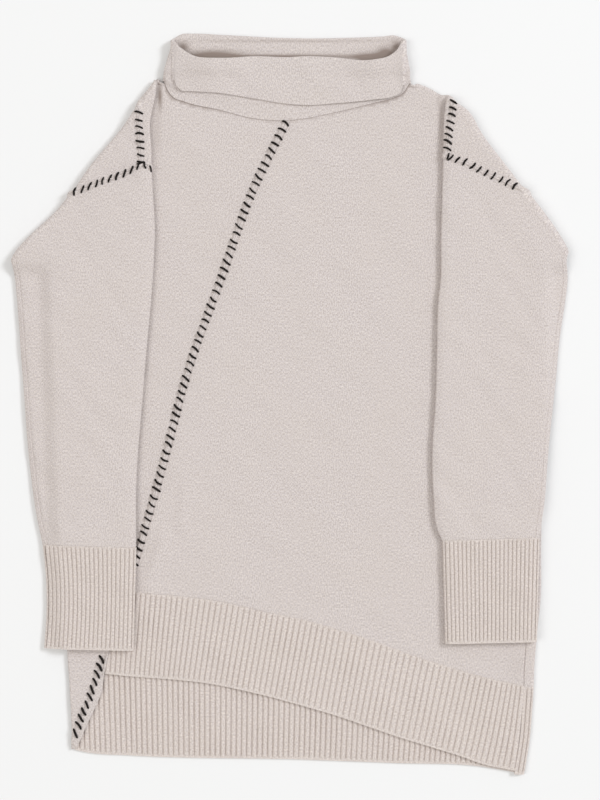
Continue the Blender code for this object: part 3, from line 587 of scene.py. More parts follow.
def settle(x, y, z):
    """Lower the arms where they pass the body's sides."""
    drop = np.zeros_like(x)
    for side, sign in SIDES.items():
        armpit = SIDE_LINE[side][0][0]
        outside = ease(sign * (x - SIDE_AT[side](y)) / DROP_WIDTH)
        drop = drop + LIFT * outside * ease((armpit - DROP_START - y) / DROP_WIDTH)
    return x, y, np.maximum(np.where(z > STACK, z - drop, z), 0.0)


def ease_outline(x, y):
    """Shift places a little where the cloth lies off its straight folds."""
    shift_x, shift_y = np.zeros_like(x), np.zeros_like(y)
    for at_x, at_y, move_x, move_y, reach in EASING:
        weight = np.exp(-((x - at_x) ** 2 + (y - at_y) ** 2) / reach ** 2)
        shift_x, shift_y = shift_x + move_x * weight, shift_y + move_y * weight
    return x + shift_x, y + shift_y


def uneven(x, y, seed, longest):
    """Gentle unevenness between about -1 and 1, made of crossing waves."""
    waves = np.random.default_rng(seed)
    total = np.zeros_like(x)
    for _ in range(WAVES):
        length = longest * (0.3 + 0.7 * waves.random())
        turn = waves.random() * math.pi
        phase = waves.random() * 2 * math.pi
        along = (x * math.cos(turn) + y * math.sin(turn)) * 2 * math.pi / length
        total += np.sin(along + phase)
    return total / math.sqrt(WAVES)


def creased(rows, x, y):
    """Height of soft creases, each a smooth ridge or trough between two points."""
    total = np.zeros_like(x)
    for x0, y0, x1, y1, wide, high in rows:
        dx, dy = x1 - x0, y1 - y0
        t = np.clip(((x - x0) * dx + (y - y0) * dy) / (dx * dx + dy * dy), 0.0, 1.0)
        away = np.hypot(x - x0 - t * dx, y - y0 - t * dy)
        total += high * np.exp(-(away / wide) ** 2)
    return total


def relieve(x, y, z):
    """Raise the front layer, and the arms over it, into soft unevenness and creases."""
    front = FRONT_SWELL + FRONT_UNEVEN * uneven(x, y, *FRONT_WAVES) + creased(FRONT_CREASES, x, y)
    arms = ARM_SWELL + ARM_UNEVEN * uneven(x, y, *ARM_WAVES) + creased(ARM_CREASES, x, y)
    z = z + np.maximum(front, 0.0) * ease((z - WALL) / BETWEEN)
    return x, y, z + np.maximum(arms, 0.0) * ease((z - STACK - FRONT_SWELL) / WALL)


def cut_along_folds(bm):
    """Add the edges that a piece needs where it bends over a shoulder fold."""
    for side in SIDES:
        start, out = crease_axes(side)[::2]
        faces = []
        for face in bm.faces:
            middle = face.calc_center_median()
            s = to_crease(side, middle.x, middle.y)[1]
            if -FOLD_MARGIN < s < FOLD_RUN + FOLD_MARGIN:
                faces.append(face)
        verts = {v for face in faces for v in face.verts}
        edges = {e for face in faces for e in face.edges}
        parts = list(verts) + list(edges) + faces
        for step in range(FOLD_STEPS + 1):
            s = FOLD_RUN * step / FOLD_STEPS
            point = Vector((start[0] + s * out[0], start[1] + s * out[1], 0.0))
            normal = (out[0], out[1], 0.0)
            parts = bmesh.ops.bisect_plane(bm, geom=parts, dist=1e-3, plane_co=point, plane_no=normal)["geom"]


def add_cloth(node, points, faces, flat, finish, painted_shade=None, folds=True):
    """Fold a closed shell into place; flat is where each point lies on the knitted cloth."""
    mesh = bpy.data.meshes.new("cloth_" + node)
    mesh.from_pydata(np.asarray(points, dtype=float).tolist(), [], faces)
    corners = np.zeros(len(mesh.loops), dtype=np.int32)
    mesh.loops.foreach_get("vertex_index", corners)
    mesh.uv_layers.new(name="cloth").data.foreach_set("uv", (flat[corners] * MM).ravel())
    # A point attribute that carries painted shade into the knit's colour
    depth = mesh.attributes.new("painted_shade", "FLOAT", "POINT")
    if painted_shade is not None:
        depth.data.foreach_set("value", np.asarray(painted_shade, dtype=np.float32))
    bm = bmesh.new()
    bm.from_mesh(mesh)
    if folds:
        cut_along_folds(bm)
    bmesh.ops.triangulate(bm, faces=bm.faces[:])
    bm.to_mesh(mesh)
    xyz = np.zeros(len(mesh.vertices) * 3)
    mesh.vertices.foreach_get("co", xyz)
    x, y, z = xyz.reshape(-1, 3).T
    if folds:
        x, y, z = settle(*fold_arms(x, y, z))
    placed = np.array(relieve(*ease_outline(x, y), z))
    placed -= np.array([[CENTRE[0]], [CENTRE[1]], [0.0]])
    mesh.vertices.foreach_set("co", (placed.T * MM).ravel())
    bm.clear()
    bm.from_mesh(mesh)
    bmesh.ops.recalc_face_normals(bm, faces=bm.faces[:])
    bm.to_mesh(mesh)
    bm.free()
    mesh.materials.append(finish)
    mesh.shade_smooth()
    mesh.set_sharp_from_angle(angle=math.radians(60))
    piece = bpy.data.objects.new("cloth_" + node, mesh)
    bpy.context.collection.objects.link(piece)
    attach(piece, "root")
    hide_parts(node)
    return piece


def away_from(points, line):
    """Distance in plan from each point to a line."""
    line = np.asarray(line, dtype=float)
    nearest = np.full(len(points), 1e6)
    for a, b in zip(line[:-1], line[1:]):
        run = b - a
        t = np.clip(((points - a) @ run) / max(run @ run, 1e-9), 0.0, 1.0)
        gap = points - a - t[:, None] * run
        nearest = np.minimum(nearest, np.hypot(gap[:, 0], gap[:, 1]))
    return nearest


def lip(away):
    """Height of one half of a sewn ridge, with a shallow groove where the halves meet."""
    t = away / LIP_WIDTH
    crown = 1 - ease((t - LIP_CROWN) / (1 - LIP_CROWN))
    return LIP_HEIGHT * crown * (1 - LIP_DIP * np.exp(-((t / LIP_DIP_WIDTH) ** 2)))


def turned_hem(away):
    """Height of an edge that is turned under and sewn down."""
    return HEM_HEIGHT * (1 - ease((away - HEM_WIDTH) / HEM_SLOPE))


def groove(away, width=GROOVE_WIDTH, depth=GROOVE_DEPTH):
    return -depth * np.exp(-((away / width) ** 2))


def inside(points, outline):
    """Which points lie inside a closed outline."""
    x, y = points[:, 0:1], points[:, 1:2]
    a = np.asarray(outline)
    b = np.roll(a, -1, axis=0)
    rise = b[:, 1] - a[:, 1]
    level = np.abs(rise) < 1e-9
    at = a[:, 0] + (y - a[:, 1]) * (b[:, 0] - a[:, 0]) / np.where(level, 1.0, rise)
    crosses = ((a[:, 1] > y) != (b[:, 1] > y)) & (x < at)
    return crosses.sum(axis=1) % 2 == 1


def spaced(line, step):
    """A line with points added so that none are further apart than a step."""
    points = []
    for a, b in zip(line[:-1], line[1:]):
        count = max(1, math.ceil(math.dist(a, b) / step))
        points += [(a[0] + (b[0] - a[0]) * k / count, a[1] + (b[1] - a[1]) * k / count) for k in range(count)]
    return points + [tuple(line[-1])]


def beside(line, away):
    """A line moved sideways, to its left for a positive distance."""
    points = np.asarray(line, dtype=float)
    run = np.gradient(points, axis=0)
    run /= np.maximum(np.hypot(run[:, 0], run[:, 1]), 1e-9)[:, None]
    return np.column_stack([points[:, 0] - run[:, 1] * away, points[:, 1] + run[:, 0] * away])


def fill_outline(outline, lines):
    """Triangulate an outline with an even grid inside it, keeping the edges of some lines."""
    known = kdtree.KDTree(len(outline) + sum(len(line) for line in lines))
    for i, p in enumerate(outline + [p for line in lines for p in line]):
        known.insert((p[0], p[1], 0.0), i)
    known.balance()
    low, high = np.min(outline, axis=0), np.max(outline, axis=0)
    rows = np.arange(low[1], high[1], GRID * GRID_ROW)
    columns = np.arange(low[0], high[0], GRID)
    grid = np.array([(x + GRID / 2 * (j % 2), y) for j, y in enumerate(rows) for x in columns])
    grid = grid[inside(grid, outline)]
    grid = [p for p in grid if known.find((p[0], p[1], 0.0))[2] > GRID * 0.5]
    points = [Vector(p) for p in outline]
    edges = [(i, (i + 1) % len(outline)) for i in range(len(outline))]
    for line in lines:
        first = len(points)
        points += [Vector((p[0], p[1])) for p in line]
        edges += [(i, i + 1) for i in range(first, len(points) - 1)]
    points += [Vector((p[0], p[1])) for p in grid]
    made = geometry.delaunay_2d_cdt(points, edges, [], 1, 1e-4)
    return np.array([p[:] for p in made[0]]), [tuple(f) for f in made[2]]


def thicken(flat, faces, low, high):
    """Underside, top and rounded rim of a flat piece; low and high are its levels at each point."""
    count = len(flat)
    sides = set()
    for face in faces:
        sides.update(zip(face, face[1:] + face[:1]))
    rim = [(a, b) for a, b in sides if (b, a) not in sides]
    points = [np.column_stack([flat, level]) for level in (low, high)]
    shell = [face[::-1] for face in faces] + [tuple(i + count for i in face) for face in faces]
    shell += [(a, b, b + count, a + count) for a, b in rim]
    return np.vstack(points), shell


def armhole_ends(side):
    """The two tangent lines' x where they meet the armhole."""
    top_y = ARMHOLE_AT[side](OVERARM_AT[side](ARMHOLE_TOP))
    low_y = UNDERARM[side][0][0]
    return float(overarm(side, top_y)), float(underarm(side, low_y))


def reach_at_armhole(side):
    return float(SHOULDER_AT[side](ARMHOLE_TOP)) - CORE


def armhole_line(side, wrapped):
    """The body's edge at an armhole, from its spare cloth over the shoulder to the armpit."""
    sign = SIDES[side]
    inner, outer = armhole_ends(side)
    points = []
    start = inner - sign * wrapped
    if wrapped > 0:
        start = inner
        for back in np.linspace(wrapped, 0.0, ARMHOLE_BACK_STEPS)[:-1]:
            x = inner + sign * back
            y = float(ARMHOLE_AT[side](x))
            points.append((2 * float(overarm(side, y)) - x - sign * EDGE_RUN, y))
        for beyond in np.linspace(EDGE_RUN, 0.0, EDGE_STEPS + 1)[:-1]:
            points.append((inner - sign * beyond, float(ARMHOLE_AT[side](inner))))
    for x in np.linspace(start, outer, ARMHOLE_STEPS):
        points.append((float(x), float(ARMHOLE_AT[side](x))))
    return [(x, y + SEAM_GAP / 2) for x, y in points]


def shoulder_line(side, front):
    """The body's edge along a shoulder seam, from the neck to the armhole, on the folded arm."""
    sign = SIDES[side]
    end_y = float(ARMHOLE_AT[side](armhole_ends(side)[0])) + SEAM_GAP / 2
    points = []
    for y in np.linspace(OVERARM[side][0][0], end_y, SHOULDER_STEPS):
        seam = float(SHOULDER_AT[side](y)) - CORE
        grown = ease((SHOULDER_START[side] - y) / SHOULDER_EASE)
        past = (EDGE_RUN + seam - SEAM_GAP) * grown if front else (-seam - SEAM_GAP) * grown
        points.append((float(overarm(side, y)) - sign * past, y))
    return points[:-1]


def shoulder_turns(side):
    """Lines along a shoulder's edge, where the spare cloth turns."""
    end_y = float(ARMHOLE_AT[side](armhole_ends(side)[0])) + SEAM_GAP / 2
    lines = []
    for step in range(EDGE_STEPS + 1):
        past = EDGE_RUN * step / EDGE_STEPS
        ys = np.linspace(SHOULDER_START[side] - SHOULDER_EASE, end_y, SHOULDER_TURN_STEPS)
        lines.append([unfold(side, float(overarm(side, y)) - SIDES[side] * past, float(y)) for y in ys])
    return lines


def side_edge(side, past, end_y):
    """The body's edge down one side, past(y) being how far its cloth reaches beyond the tangent."""
    sign = SIDES[side]
    start_x, start_y = armpit(side)
    points = [(start_x - sign * SEAM_GAP, start_y - SIDE_START)]
    for y in np.linspace(start_y - SIDE_START - 1.0, end_y, SIDE_STEPS):
        grown = float(ease((start_y - SIDE_START - y) / SIDE_EASE))
        points.append((float(body_side(side, y)) + sign * past(y) * grown, float(y)))
    return points


def side_turns(side, furthest, end_y):
    """Lines down one side, where the spare cloth turns."""
    start_y = armpit(side)[1]
    lines = []
    steps = np.arange(0, EDGE_STEPS + 1) * EDGE_RUN / EDGE_STEPS
    for past in steps[steps < furthest - 0.1]:
        ys = np.linspace(start_y - SIDE_START - SIDE_EASE, end_y, SIDE_TURN_STEPS)
        lines.append([(float(body_side(side, y)) + SIDES[side] * past, float(y)) for y in ys])
    return lines


def quarter_turn(y):
    """How far cloth reaches that ends halfway round an edge, whatever its y."""
    return EDGE_RUN / 2 - SEAM_GAP / 2


def back_wrap(y):
    """How far the back reaches beyond the right side's tangent line."""
    seam = float(SIDE_SEAM_AT(y))
    return EDGE_RUN / 2 + (EDGE_RUN / 2 + seam) * float(ease(seam / SEAM_EASE)) + SEAM_GAP / 2


def front_wrap(y):
    return EDGE_RUN - back_wrap(y) - SEAM_GAP


def armpit(side):
    """The body's corner at the armpit, on the unfolded cloth."""
    x, y = unfold(side, *armhole_line(side, 1.0)[-1])
    return x, y


def body_shoulder(side, front):
    """Shoulder seam and armhole of a body panel, from the neck outwards."""
    wrap = reach_at_armhole(side) - SEAM_GAP / 2
    shoulder = shoulder_line(side, front)
    hole = armhole_line(side, wrap if front else -wrap - SEAM_GAP)
    return [unfold(side, x, y) for x, y in shoulder], [unfold(side, x, y) for x, y in hole]


def neck_line(read, start, end):
    """Samples along the neck seam, close together where it is steep."""
    share = (1 - np.cos(np.linspace(0.0, math.pi, NECK_STEPS))) / 2
    xs = NECK_FRONT[0][0] + (NECK_FRONT[-1][0] - NECK_FRONT[0][0]) * share
    xs = [start] + [x for x in xs if start + 0.5 < x < end - 0.5] + [end]
    points = []
    for x in xs:
        slope = float(read(x + 0.5) - read(x - 0.5))
        points.append((float(x), float(read(x)) - SEAM_GAP * math.hypot(1.0, slope)))
    return points


def along_x(read, start, end, gap):
    return [(float(x), float(read(x)) + gap) for x in np.linspace(start, end, HEM_STEPS)]


def slant_line(shift, end_y):
    ys = np.linspace(SLANT[0][0], end_y, SLANT_STEPS)
    return [(float(SLANT_AT(y)) + shift, float(y)) for y in ys]


def panel(node, outline, sewn, neck, lines, level, outward, finish, hem=None, side=None):
    """A body panel: ridges along sewn edges, a groove at the neck and side; outward is 1 for a front."""
    traced = [(line, LIP_ROWS) for line in sewn]
    traced += [(hem, HEM_STOPS)] if hem else []
    traced += [(side, SIDE_STOPS)] if side else []
    for line, stops in traced:
        for away in stops:
            lines = lines + [beside(line, away), beside(line, -away)]
    # Extra points where the patches of painted shade lie
    if outward > 0:
        lines = lines + shade_patch_lines(FRONT_SHADE_PATCHES)
    rim = spaced(outline + outline[:1], EDGE_SPACE)[:-1]
    drawn = [np.asarray(line) for line in lines]
    lines = [[p for p, kept in zip(line, inside(line, rim)) if kept] for line in drawn]
    flat, faces = fill_outline(rim, [line for line in lines if len(line) > 1])
    raised = lip(np.min([away_from(flat, line) for line in sewn], axis=0))
    # A painted shadow line beside the slanting ridge, used on the right front only
    ridge_shadow = RIDGE_SHADOW_TONE * np.exp(-(((away_from(flat, sewn[0]) - RIDGE_SHADOW_AT) / RIDGE_SHADOW_WIDTH) ** 2))
    if hem:
        raised = np.maximum(raised, turned_hem(away_from(flat, hem)))
    dented = groove(away_from(flat, neck))
    seam = groove(away_from(flat, side), *SIDE_GROOVE) if side else np.zeros(len(flat))
    if outward > 0:
        low = np.full(len(flat), level)
        high = low + WALL + raised + dented + seam
    else:
        shown = sum(ease(to_crease(arm, flat[:, 0], flat[:, 1])[1] / FOLD_RUN) for arm in SIDES)
        low = level - raised * shown - seam
        high = np.full(len(flat), level + WALL) + dented
    points, shell = thicken(flat, faces, low, high)
    wrapped = np.array(wrap_panel(*points.T)).T
    # Painted shade along the neck seam's groove, weaker at the middle of the neck
    outward_x = ease((np.abs(flat[:, 0]) - NECK_SHADE_FROM) / NECK_SHADE_RUN)
    ends = NECK_SHADE_MIDDLE + (1 - NECK_SHADE_MIDDLE) * outward_x
    panel_shade = NECK_SHADE * ends * np.exp(-((away_from(flat, neck) / NECK_SHADE_WIDTH) ** 2))
    # Along the right side seam's groove the painted shade is lessened, to paint it lighter
    panel_shade = panel_shade - SIDE_SEAM_SHADE * seam
    # Painted shade beside the arms and over the hem
    if outward > 0:
        panel_shade = panel_shade + shade_at(flat[:, 0], flat[:, 1], FRONT_SHADE_PATCHES)
    # The right front gets the painted shadow line beside its slanting ridge
    if node == "front_right_panel":
        panel_shade = panel_shade + ridge_shadow
    painted_shade = np.concatenate([panel_shade, panel_shade])
    piece = add_cloth(node, wrapped, shell, np.vstack([flat, flat]), finish, painted_shade=painted_shade)
    return piece


def back_panel(finish):
    neck = neck_line(NECK_BACK_AT, NECK_BACK[0][0], NECK_BACK[-1][0])
    hem_right, hem_left = BACK_RIB_TOP[-1][1] + SEAM_GAP, BACK_RIB_TOP[0][1] + SEAM_GAP
    right = side_edge("right", back_wrap, hem_right)
    left = side_edge("left", quarter_turn, hem_left)
    hem = along_x(BACK_TOP_AT, left[-1][0], right[-1][0], SEAM_GAP)[1:-1]
    right_arm, left_arm = body_shoulder("right", False), body_shoulder("left", False)
    outline = neck[1:-1] + right_arm[0] + right_arm[1] + right
    outline += hem[::-1] + left[::-1] + left_arm[1][::-1] + left_arm[0][::-1]
    lines = side_turns("right", EDGE_RUN + SIDE_TURN_PAST, hem_right + SIDE_TURN_ABOVE)
    lines += side_turns("left", EDGE_RUN / 2, hem_left + SIDE_TURN_ABOVE)
    sewn = [right_arm[0] + right_arm[1], left_arm[0] + left_arm[1]]
    return panel("back_panel", outline, sewn, neck, lines, 0.0, -1, finish, side=right[1:])


def front_left_panel(finish):
    neck = neck_line(NECK_FRONT_AT, NECK_FRONT[0][0], SLANT[0][1] - SEAM_GAP / 2)
    slant = slant_line(-SEAM_GAP / 2, FRONT_RIB_FOOT[0][1] - 2 * SEAM_GAP)
    end_y = SIDE_LINE["left"][-1][0]
    left = side_edge("left", quarter_turn, end_y)
    arm = body_shoulder("left", True)
    vent = [(float(x), float(y)) for x, y in VENT_EDGE]
    outline = neck[1:] + slant[1:] + vent + left[::-1] + arm[1][::-1] + arm[0][::-1]
    lines = shoulder_turns("left") + side_turns("left", EDGE_RUN / 2, end_y + 6.0)
    sewn = [slant, arm[0] + arm[1]]
    return panel("front_left_panel", outline, sewn, neck, lines, FRONT, 1, finish, hem=slant[-1:] + vent)


def front_right_panel(finish):
    neck = neck_line(NECK_FRONT_AT, SLANT[0][1] + SEAM_GAP / 2, NECK_FRONT[-1][0])
    slant = slant_line(SEAM_GAP / 2, FRONT_RIB_TOP[0][1] + SEAM_GAP)
    end_y = FRONT_RIB_TOP[-1][1] + SEAM_GAP
    right = side_edge("right", front_wrap, end_y)
    hem = along_x(FRONT_TOP_AT, slant[-1][0], right[-1][0], SEAM_GAP)[1:-1]
    arm = body_shoulder("right", True)
    outline = neck[:-1] + arm[0] + arm[1] + right + hem[::-1] + slant[1:][::-1]
    sewn = [slant, arm[0] + arm[1]]
    lines = shoulder_turns("right")
    return panel("front_right_panel", outline, sewn, neck, lines, FRONT, 1, finish, side=right[1:])


def rib_shape(phase):
    """Height of a rib from 0 in a thin valley to 1 on its broad crest; phase counts ribs."""
    return 1 - np.abs(np.cos(math.pi * phase)) ** RIB_SHARPNESS


def band(count_along, count_across):
    """Faces of a closed band: an underside grid, a top grid, and their rim."""
    layer = count_along * count_across
    faces = []
    for row in range(count_along - 1):
        for i in range(count_across - 1):
            a = row * count_across + i
            faces.append((a, a + 1, a + 1 + count_across, a + count_across))
            b = a + layer
            faces.append((b, b + count_across, b + 1 + count_across, b + 1))
    last = (count_along - 1) * count_across
    for i in range(count_across - 1):
        faces.append((i, i + layer, i + 1 + layer, i + 1))
        faces.append((last + i, last + i + 1, last + i + 1 + layer, last + i + layer))
    for row in range(count_along - 1):
        a = row * count_across
        b = a + count_across - 1
        faces.append((a, a + count_across, a + count_across + layer, a + layer))
        faces.append((b, b + layer, b + count_across + layer, b + count_across))
    return faces


def rib_phases(count):
    """Where a band's columns lie, counted in ribs: closer together in the thin valleys."""
    return np.array([rib + stop for rib in range(count) for stop in RIB_STOPS] + [float(count)])


def rib_rows(long, count):
    """Rows down a band as shares of its length, closer together at its ends."""
    middle = np.linspace(STOP_START, long - STOP_START, count)
    return np.concatenate([TOP_STOPS, middle, long - np.array(FOOT_STOPS)])[:, None] / long


def side_bow(y, top_y, foot_y):
    """How far the body's right side bows out past a straight line between two heights."""
    ends = np.array([foot_y, top_y])
    return SIDE_AT["right"](y) - np.interp(y, ends, SIDE_AT["right"](ends))


def hem_band(node, top, foot, phase, level, place, lower_ribs, finish):
    """A ribbed band hanging from its top line to its foot line, bowed out at its right end."""
    top, foot = np.asarray(top, dtype=float), np.asarray(foot, dtype=float)
    across = len(top)
    each = np.hypot(*(top - foot).T)
    long = float(np.median(each))
    shares = rib_rows(long, HEM_ROWS)
    near_foot = ease((1 - shares) * each / SELVEDGE - SELVEDGE_START)
    depth = near_foot * ease(shares * each / RIB_START)
    middle = top[None] + (foot - top)[None] * shares[:, :, None]
    x, y = middle[..., 0], middle[..., 1]
    x = x + side_bow(y, top[-1, 1], foot[-1, 1]) * np.clip(phase / BOWED_RIBS, 0.0, 1.0) ** BOW_POWER
    crest = rib_shape(phase)[None, :]
    rise = RIB_DEPTH * (crest - 1) * depth
    high = level + WALL + RIB_CREST + rise - SELVEDGE_DROP * (1 - near_foot)
    low = np.full_like(high, level) - rise * lower_ribs
    points = np.vstack([np.column_stack([x.ravel(), y.ravel(), z.ravel()]) for z in (low, high)])
    u = np.broadcast_to(phase[None, :] * HEM_PITCH, x.shape)
    flat = np.column_stack([u.ravel(), y.ravel()])
    # Painted shade in the ribs' valleys, fading out at both ends of the band
    painted_shade = ((1 - crest) * depth).ravel()
    placed = np.array(place(*points.T)).T
    piece = add_cloth(node, placed, band(len(shares), across), np.vstack([flat, flat]), finish,
                      painted_shade=np.concatenate([painted_shade, painted_shade]))
    return piece


def edge_at(rows, ends, shares):
    """Points along an edge given as x, y, at shares of the way between two x."""
    read = line_of(rows)
    return [(float(x), float(read(x))) for x in ends[0] + (ends[1] - ends[0]) * shares]


def rib_ends(middle, lean):
    """Upper and lower ends of the front's ribs; at the left they end at the slanting seam."""
    level = (FRONT_TOP_AT(middle) + FRONT_FOOT_AT(middle)) / 2

    def across(y):
        return middle + lean * (y - level)

    top_y, foot_y = FRONT_TOP_AT(middle), FRONT_FOOT_AT(middle)
    for _ in range(LEAN_ROUNDS):
        top_y, foot_y = FRONT_TOP_AT(across(top_y)), FRONT_FOOT_AT(across(foot_y))
    low, high = foot_y + LEAST_RIB, top_y
    for _ in range(HALVINGS):
        half = (low + high) / 2
        kept = across(half) > SLANT_AT(half) + SEAM_GAP
        low, high = np.where(kept, half, low), np.where(kept, high, half)
    return np.column_stack([across(low), low]), np.column_stack([across(foot_y), foot_y])


def front_hem_rib(finish):
    """The front's rib; its ribs run a little down to the left, closer together at both ends."""
    top_y, foot_y = FRONT_RIB_TOP[-1][1], FRONT_RIB_FOOT[-1][1]
    top_end = float(body_side("right", top_y)) + front_wrap(top_y) + SIDE_LAP
    foot_end = float(body_side("right", foot_y)) + front_wrap(foot_y) + SIDE_LAP
    corner = FRONT_RIB_FOOT[0]
    lean_at, pitch_at = line_of(FRONT_RIB_LEAN), line_of(FRONT_RIB_PITCH)
    start = float(SLANT_AT(corner[1])) + 2 * SEAM_GAP
    start += float(lean_at(start) * (FRONT_TOP_AT(start) - FRONT_FOOT_AT(start)) / 2) + FIRST_RIB_ASIDE
    middles = np.linspace(start, (top_end + foot_end) / 2, RIB_READS)
    passed = np.concatenate([[0.0], np.cumsum(np.diff(middles) / pitch_at(middles[1:]))])
    ribs = round(passed[-1])
    phase = rib_phases(ribs)
    middle = np.interp(phase, passed * ribs / passed[-1], middles)
    top, foot = rib_ends(middle, lean_at(middle))
    top[-1], foot[-1] = (top_end, top_y), (foot_end, foot_y)
    return hem_band("front_hem_rib", top, foot, phase, FRONT, lambda x, y, z: (x, y, z), 0.0, finish)


def back_hem_rib(finish):
    """The back's rib, flat on the surface, coming round to the front at its right end."""
    top_y, foot_y = BACK_RIB_TOP[-1][1], BACK_RIB_FOOT[-1][1]
    left_y, low_y = BACK_RIB_TOP[0][1], BACK_RIB_FOOT[0][1]
    flat_top = (float(body_side("left", left_y)), float(body_side("right", top_y)))
    flat_foot = (float(body_side("left", low_y)), float(body_side("right", foot_y)))
    phase = rib_phases(BACK_RIBS)
    top = edge_at(BACK_RIB_TOP, flat_top, phase / BACK_RIBS)
    foot = edge_at(BACK_RIB_FOOT, flat_foot, phase / BACK_RIBS)
    # The last three columns are left off, so the band ends on a crest
    turned = rib_phases(BACK_TURN_RIBS)[1:-3]
    spare = back_wrap(top_y) / turned[-1]
    top += [(flat_top[1] + spare * past, top[-1][1]) for past in turned]
    foot += [(flat_foot[1] + spare * past, foot[-1][1]) for past in turned]
    phase = np.concatenate([phase, BACK_RIBS + turned])
    return hem_band("back_hem_rib", top, foot, phase, 0.0, wrap_panel, 1.0, finish)


def ring_faces(stations, around):
    """Faces of a closed tube wall: outer and inner rings at each station, open ends capped."""
    faces = []
    for k in range(stations - 1):
        for i in range(around):
            j = (i + 1) % around
            outer, ahead = 2 * k * around, 2 * (k + 1) * around
            faces.append((outer + i, outer + j, ahead + j, ahead + i))
            inner, next_in = outer + around, ahead + around
            faces.append((inner + i, next_in + i, next_in + j, inner + j))
    last = 2 * (stations - 1) * around
    for i in range(around):
        j = (i + 1) % around
        faces.append((i, i + around, j + around, j))
        faces.append((last + i, last + j, last + j + around, last + i + around))
    return faces


def tube_ring(flats, turns):
    """Shares across and angles round a flattened tube: front layer, lower edge, back layer, upper edge."""
    shares = np.concatenate([flats, np.ones_like(turns), flats[::-1], np.zeros_like(turns)])
    angles = np.concatenate([np.full_like(flats, 90.0), 90.0 - 180.0 * turns, np.full_like(flats, -90.0),
                             -90.0 - 180.0 * turns])
    return shares, np.radians(angles)


def add_tube(node, side, x, y, angles, radii, inner_edge, outer_edge, finish, painted_shade=None):
    """A flattened tube from its plan places; radii are the outer and inner ones at each point."""
    sign = SIDES[side]
    stations, around = x.shape
    rings, cloth = [], []
    for radius in radii:
        px = x + sign * radius * np.cos(angles)[None, :]
        z = CORE + radius * np.sin(angles)[None, :]
        ux, uy = unfold(side, px, y)
        rings.append(np.stack([ux, uy, np.broadcast_to(z, ux.shape)], axis=-1))
        arc = CORE * np.arccos(np.abs(np.sin(angles)))[None, :]
        outward = np.where(x > (inner_edge + outer_edge) / 2, 1.0, -1.0)
        cloth.append(np.stack([x + outward * arc, y], axis=-1))
    points = np.stack(rings, axis=1).reshape(-1, 3)
    flat = np.stack(cloth, axis=1).reshape(-1, 2)
    # Painted shade, the same on the outer and the inner ring
    depth = None
    if painted_shade is not None:
        depth = np.stack([painted_shade, painted_shade], axis=1).ravel()
    piece = add_cloth(node, points, ring_faces(stations, around), flat, finish, painted_shade=depth)
    return piece


def puff(x, inner, outer, angles):
    """How much the upper layer of an arm rises away from its two edges."""
    away = np.minimum(np.abs(x - inner), np.abs(x - outer))
    t = np.clip(away / PUFF_RUN, 0.0, 1.0)
    return PUFF * np.sqrt(1 - (1 - t) ** 2) * (np.sin(angles) < -FACING)


def sleeve(side, finish):
    inner_seam, outer_seam = armhole_ends(side)
    seam_stops = 1 - np.array(UNDERARM_STOPS) / abs(outer_seam - inner_seam)
    flats = np.sort(np.concatenate([np.linspace(0.0, 1.0, SLEEVE_ACROSS), seam_stops]))
    across, angles = tube_ring(flats, np.arange(1, EDGE_STEPS) / EDGE_STEPS)
    last_x = np.array([outer_seam - SIDES[side], outer_seam])
    armpit_slope = float(np.diff(ARMHOLE_AT[side](last_x))[0])
    cuff_in, cuff_out = CUFF[side]["seam"][3], CUFF[side]["seam"][1]
    flat_x = inner_seam + (outer_seam - inner_seam) * across
    bulge = np.where(across == 1.0, CORE * np.cos(angles), 0.0)
    start = ARMHOLE_AT[side](flat_x) + armpit_slope * bulge - SEAM_GAP / 2
    end = cuff_in + (cuff_out - cuff_in) * across + SEAM_GAP
    length = float(np.mean(start - end))
    near = np.array(SLEEVE_FIRST_ROWS) / length
    share = np.concatenate([near, np.linspace(near[-1], 1.0, SLEEVE_ROWS)[1:]])[:, None]
    y = start + (end - start) * share
    inner, outer = overarm(side, y), underarm(side, y)
    blend = ease(share / SLEEVE_BLEND)
    blend = blend + (1 - blend) * (1 - ease(across / SLEEVE_EDGE_BLEND))
    inner = inner_seam + (inner - inner_seam) * blend
    x = inner + (outer - inner) * across
    # The seam's groove along the arm's lower edge, with painted shade in it
    from_seam = (np.abs(outer - x) - UNDERARM_SEAM) / UNDERARM_WIDTH
    seam = np.exp(-(from_seam ** 2)) * (np.sin(angles) < -FACING)
    raised = lip(share * length) - UNDERARM_DEPTH * seam + puff(x, inner, outer, angles)
    radii = (STACK / 2 + raised, np.full_like(raised, BETWEEN / 2))
    return add_tube("sleeve_" + side, side, x, y, angles, radii, inner, outer, finish,
                    painted_shade=UNDERARM_SHADE * seam)


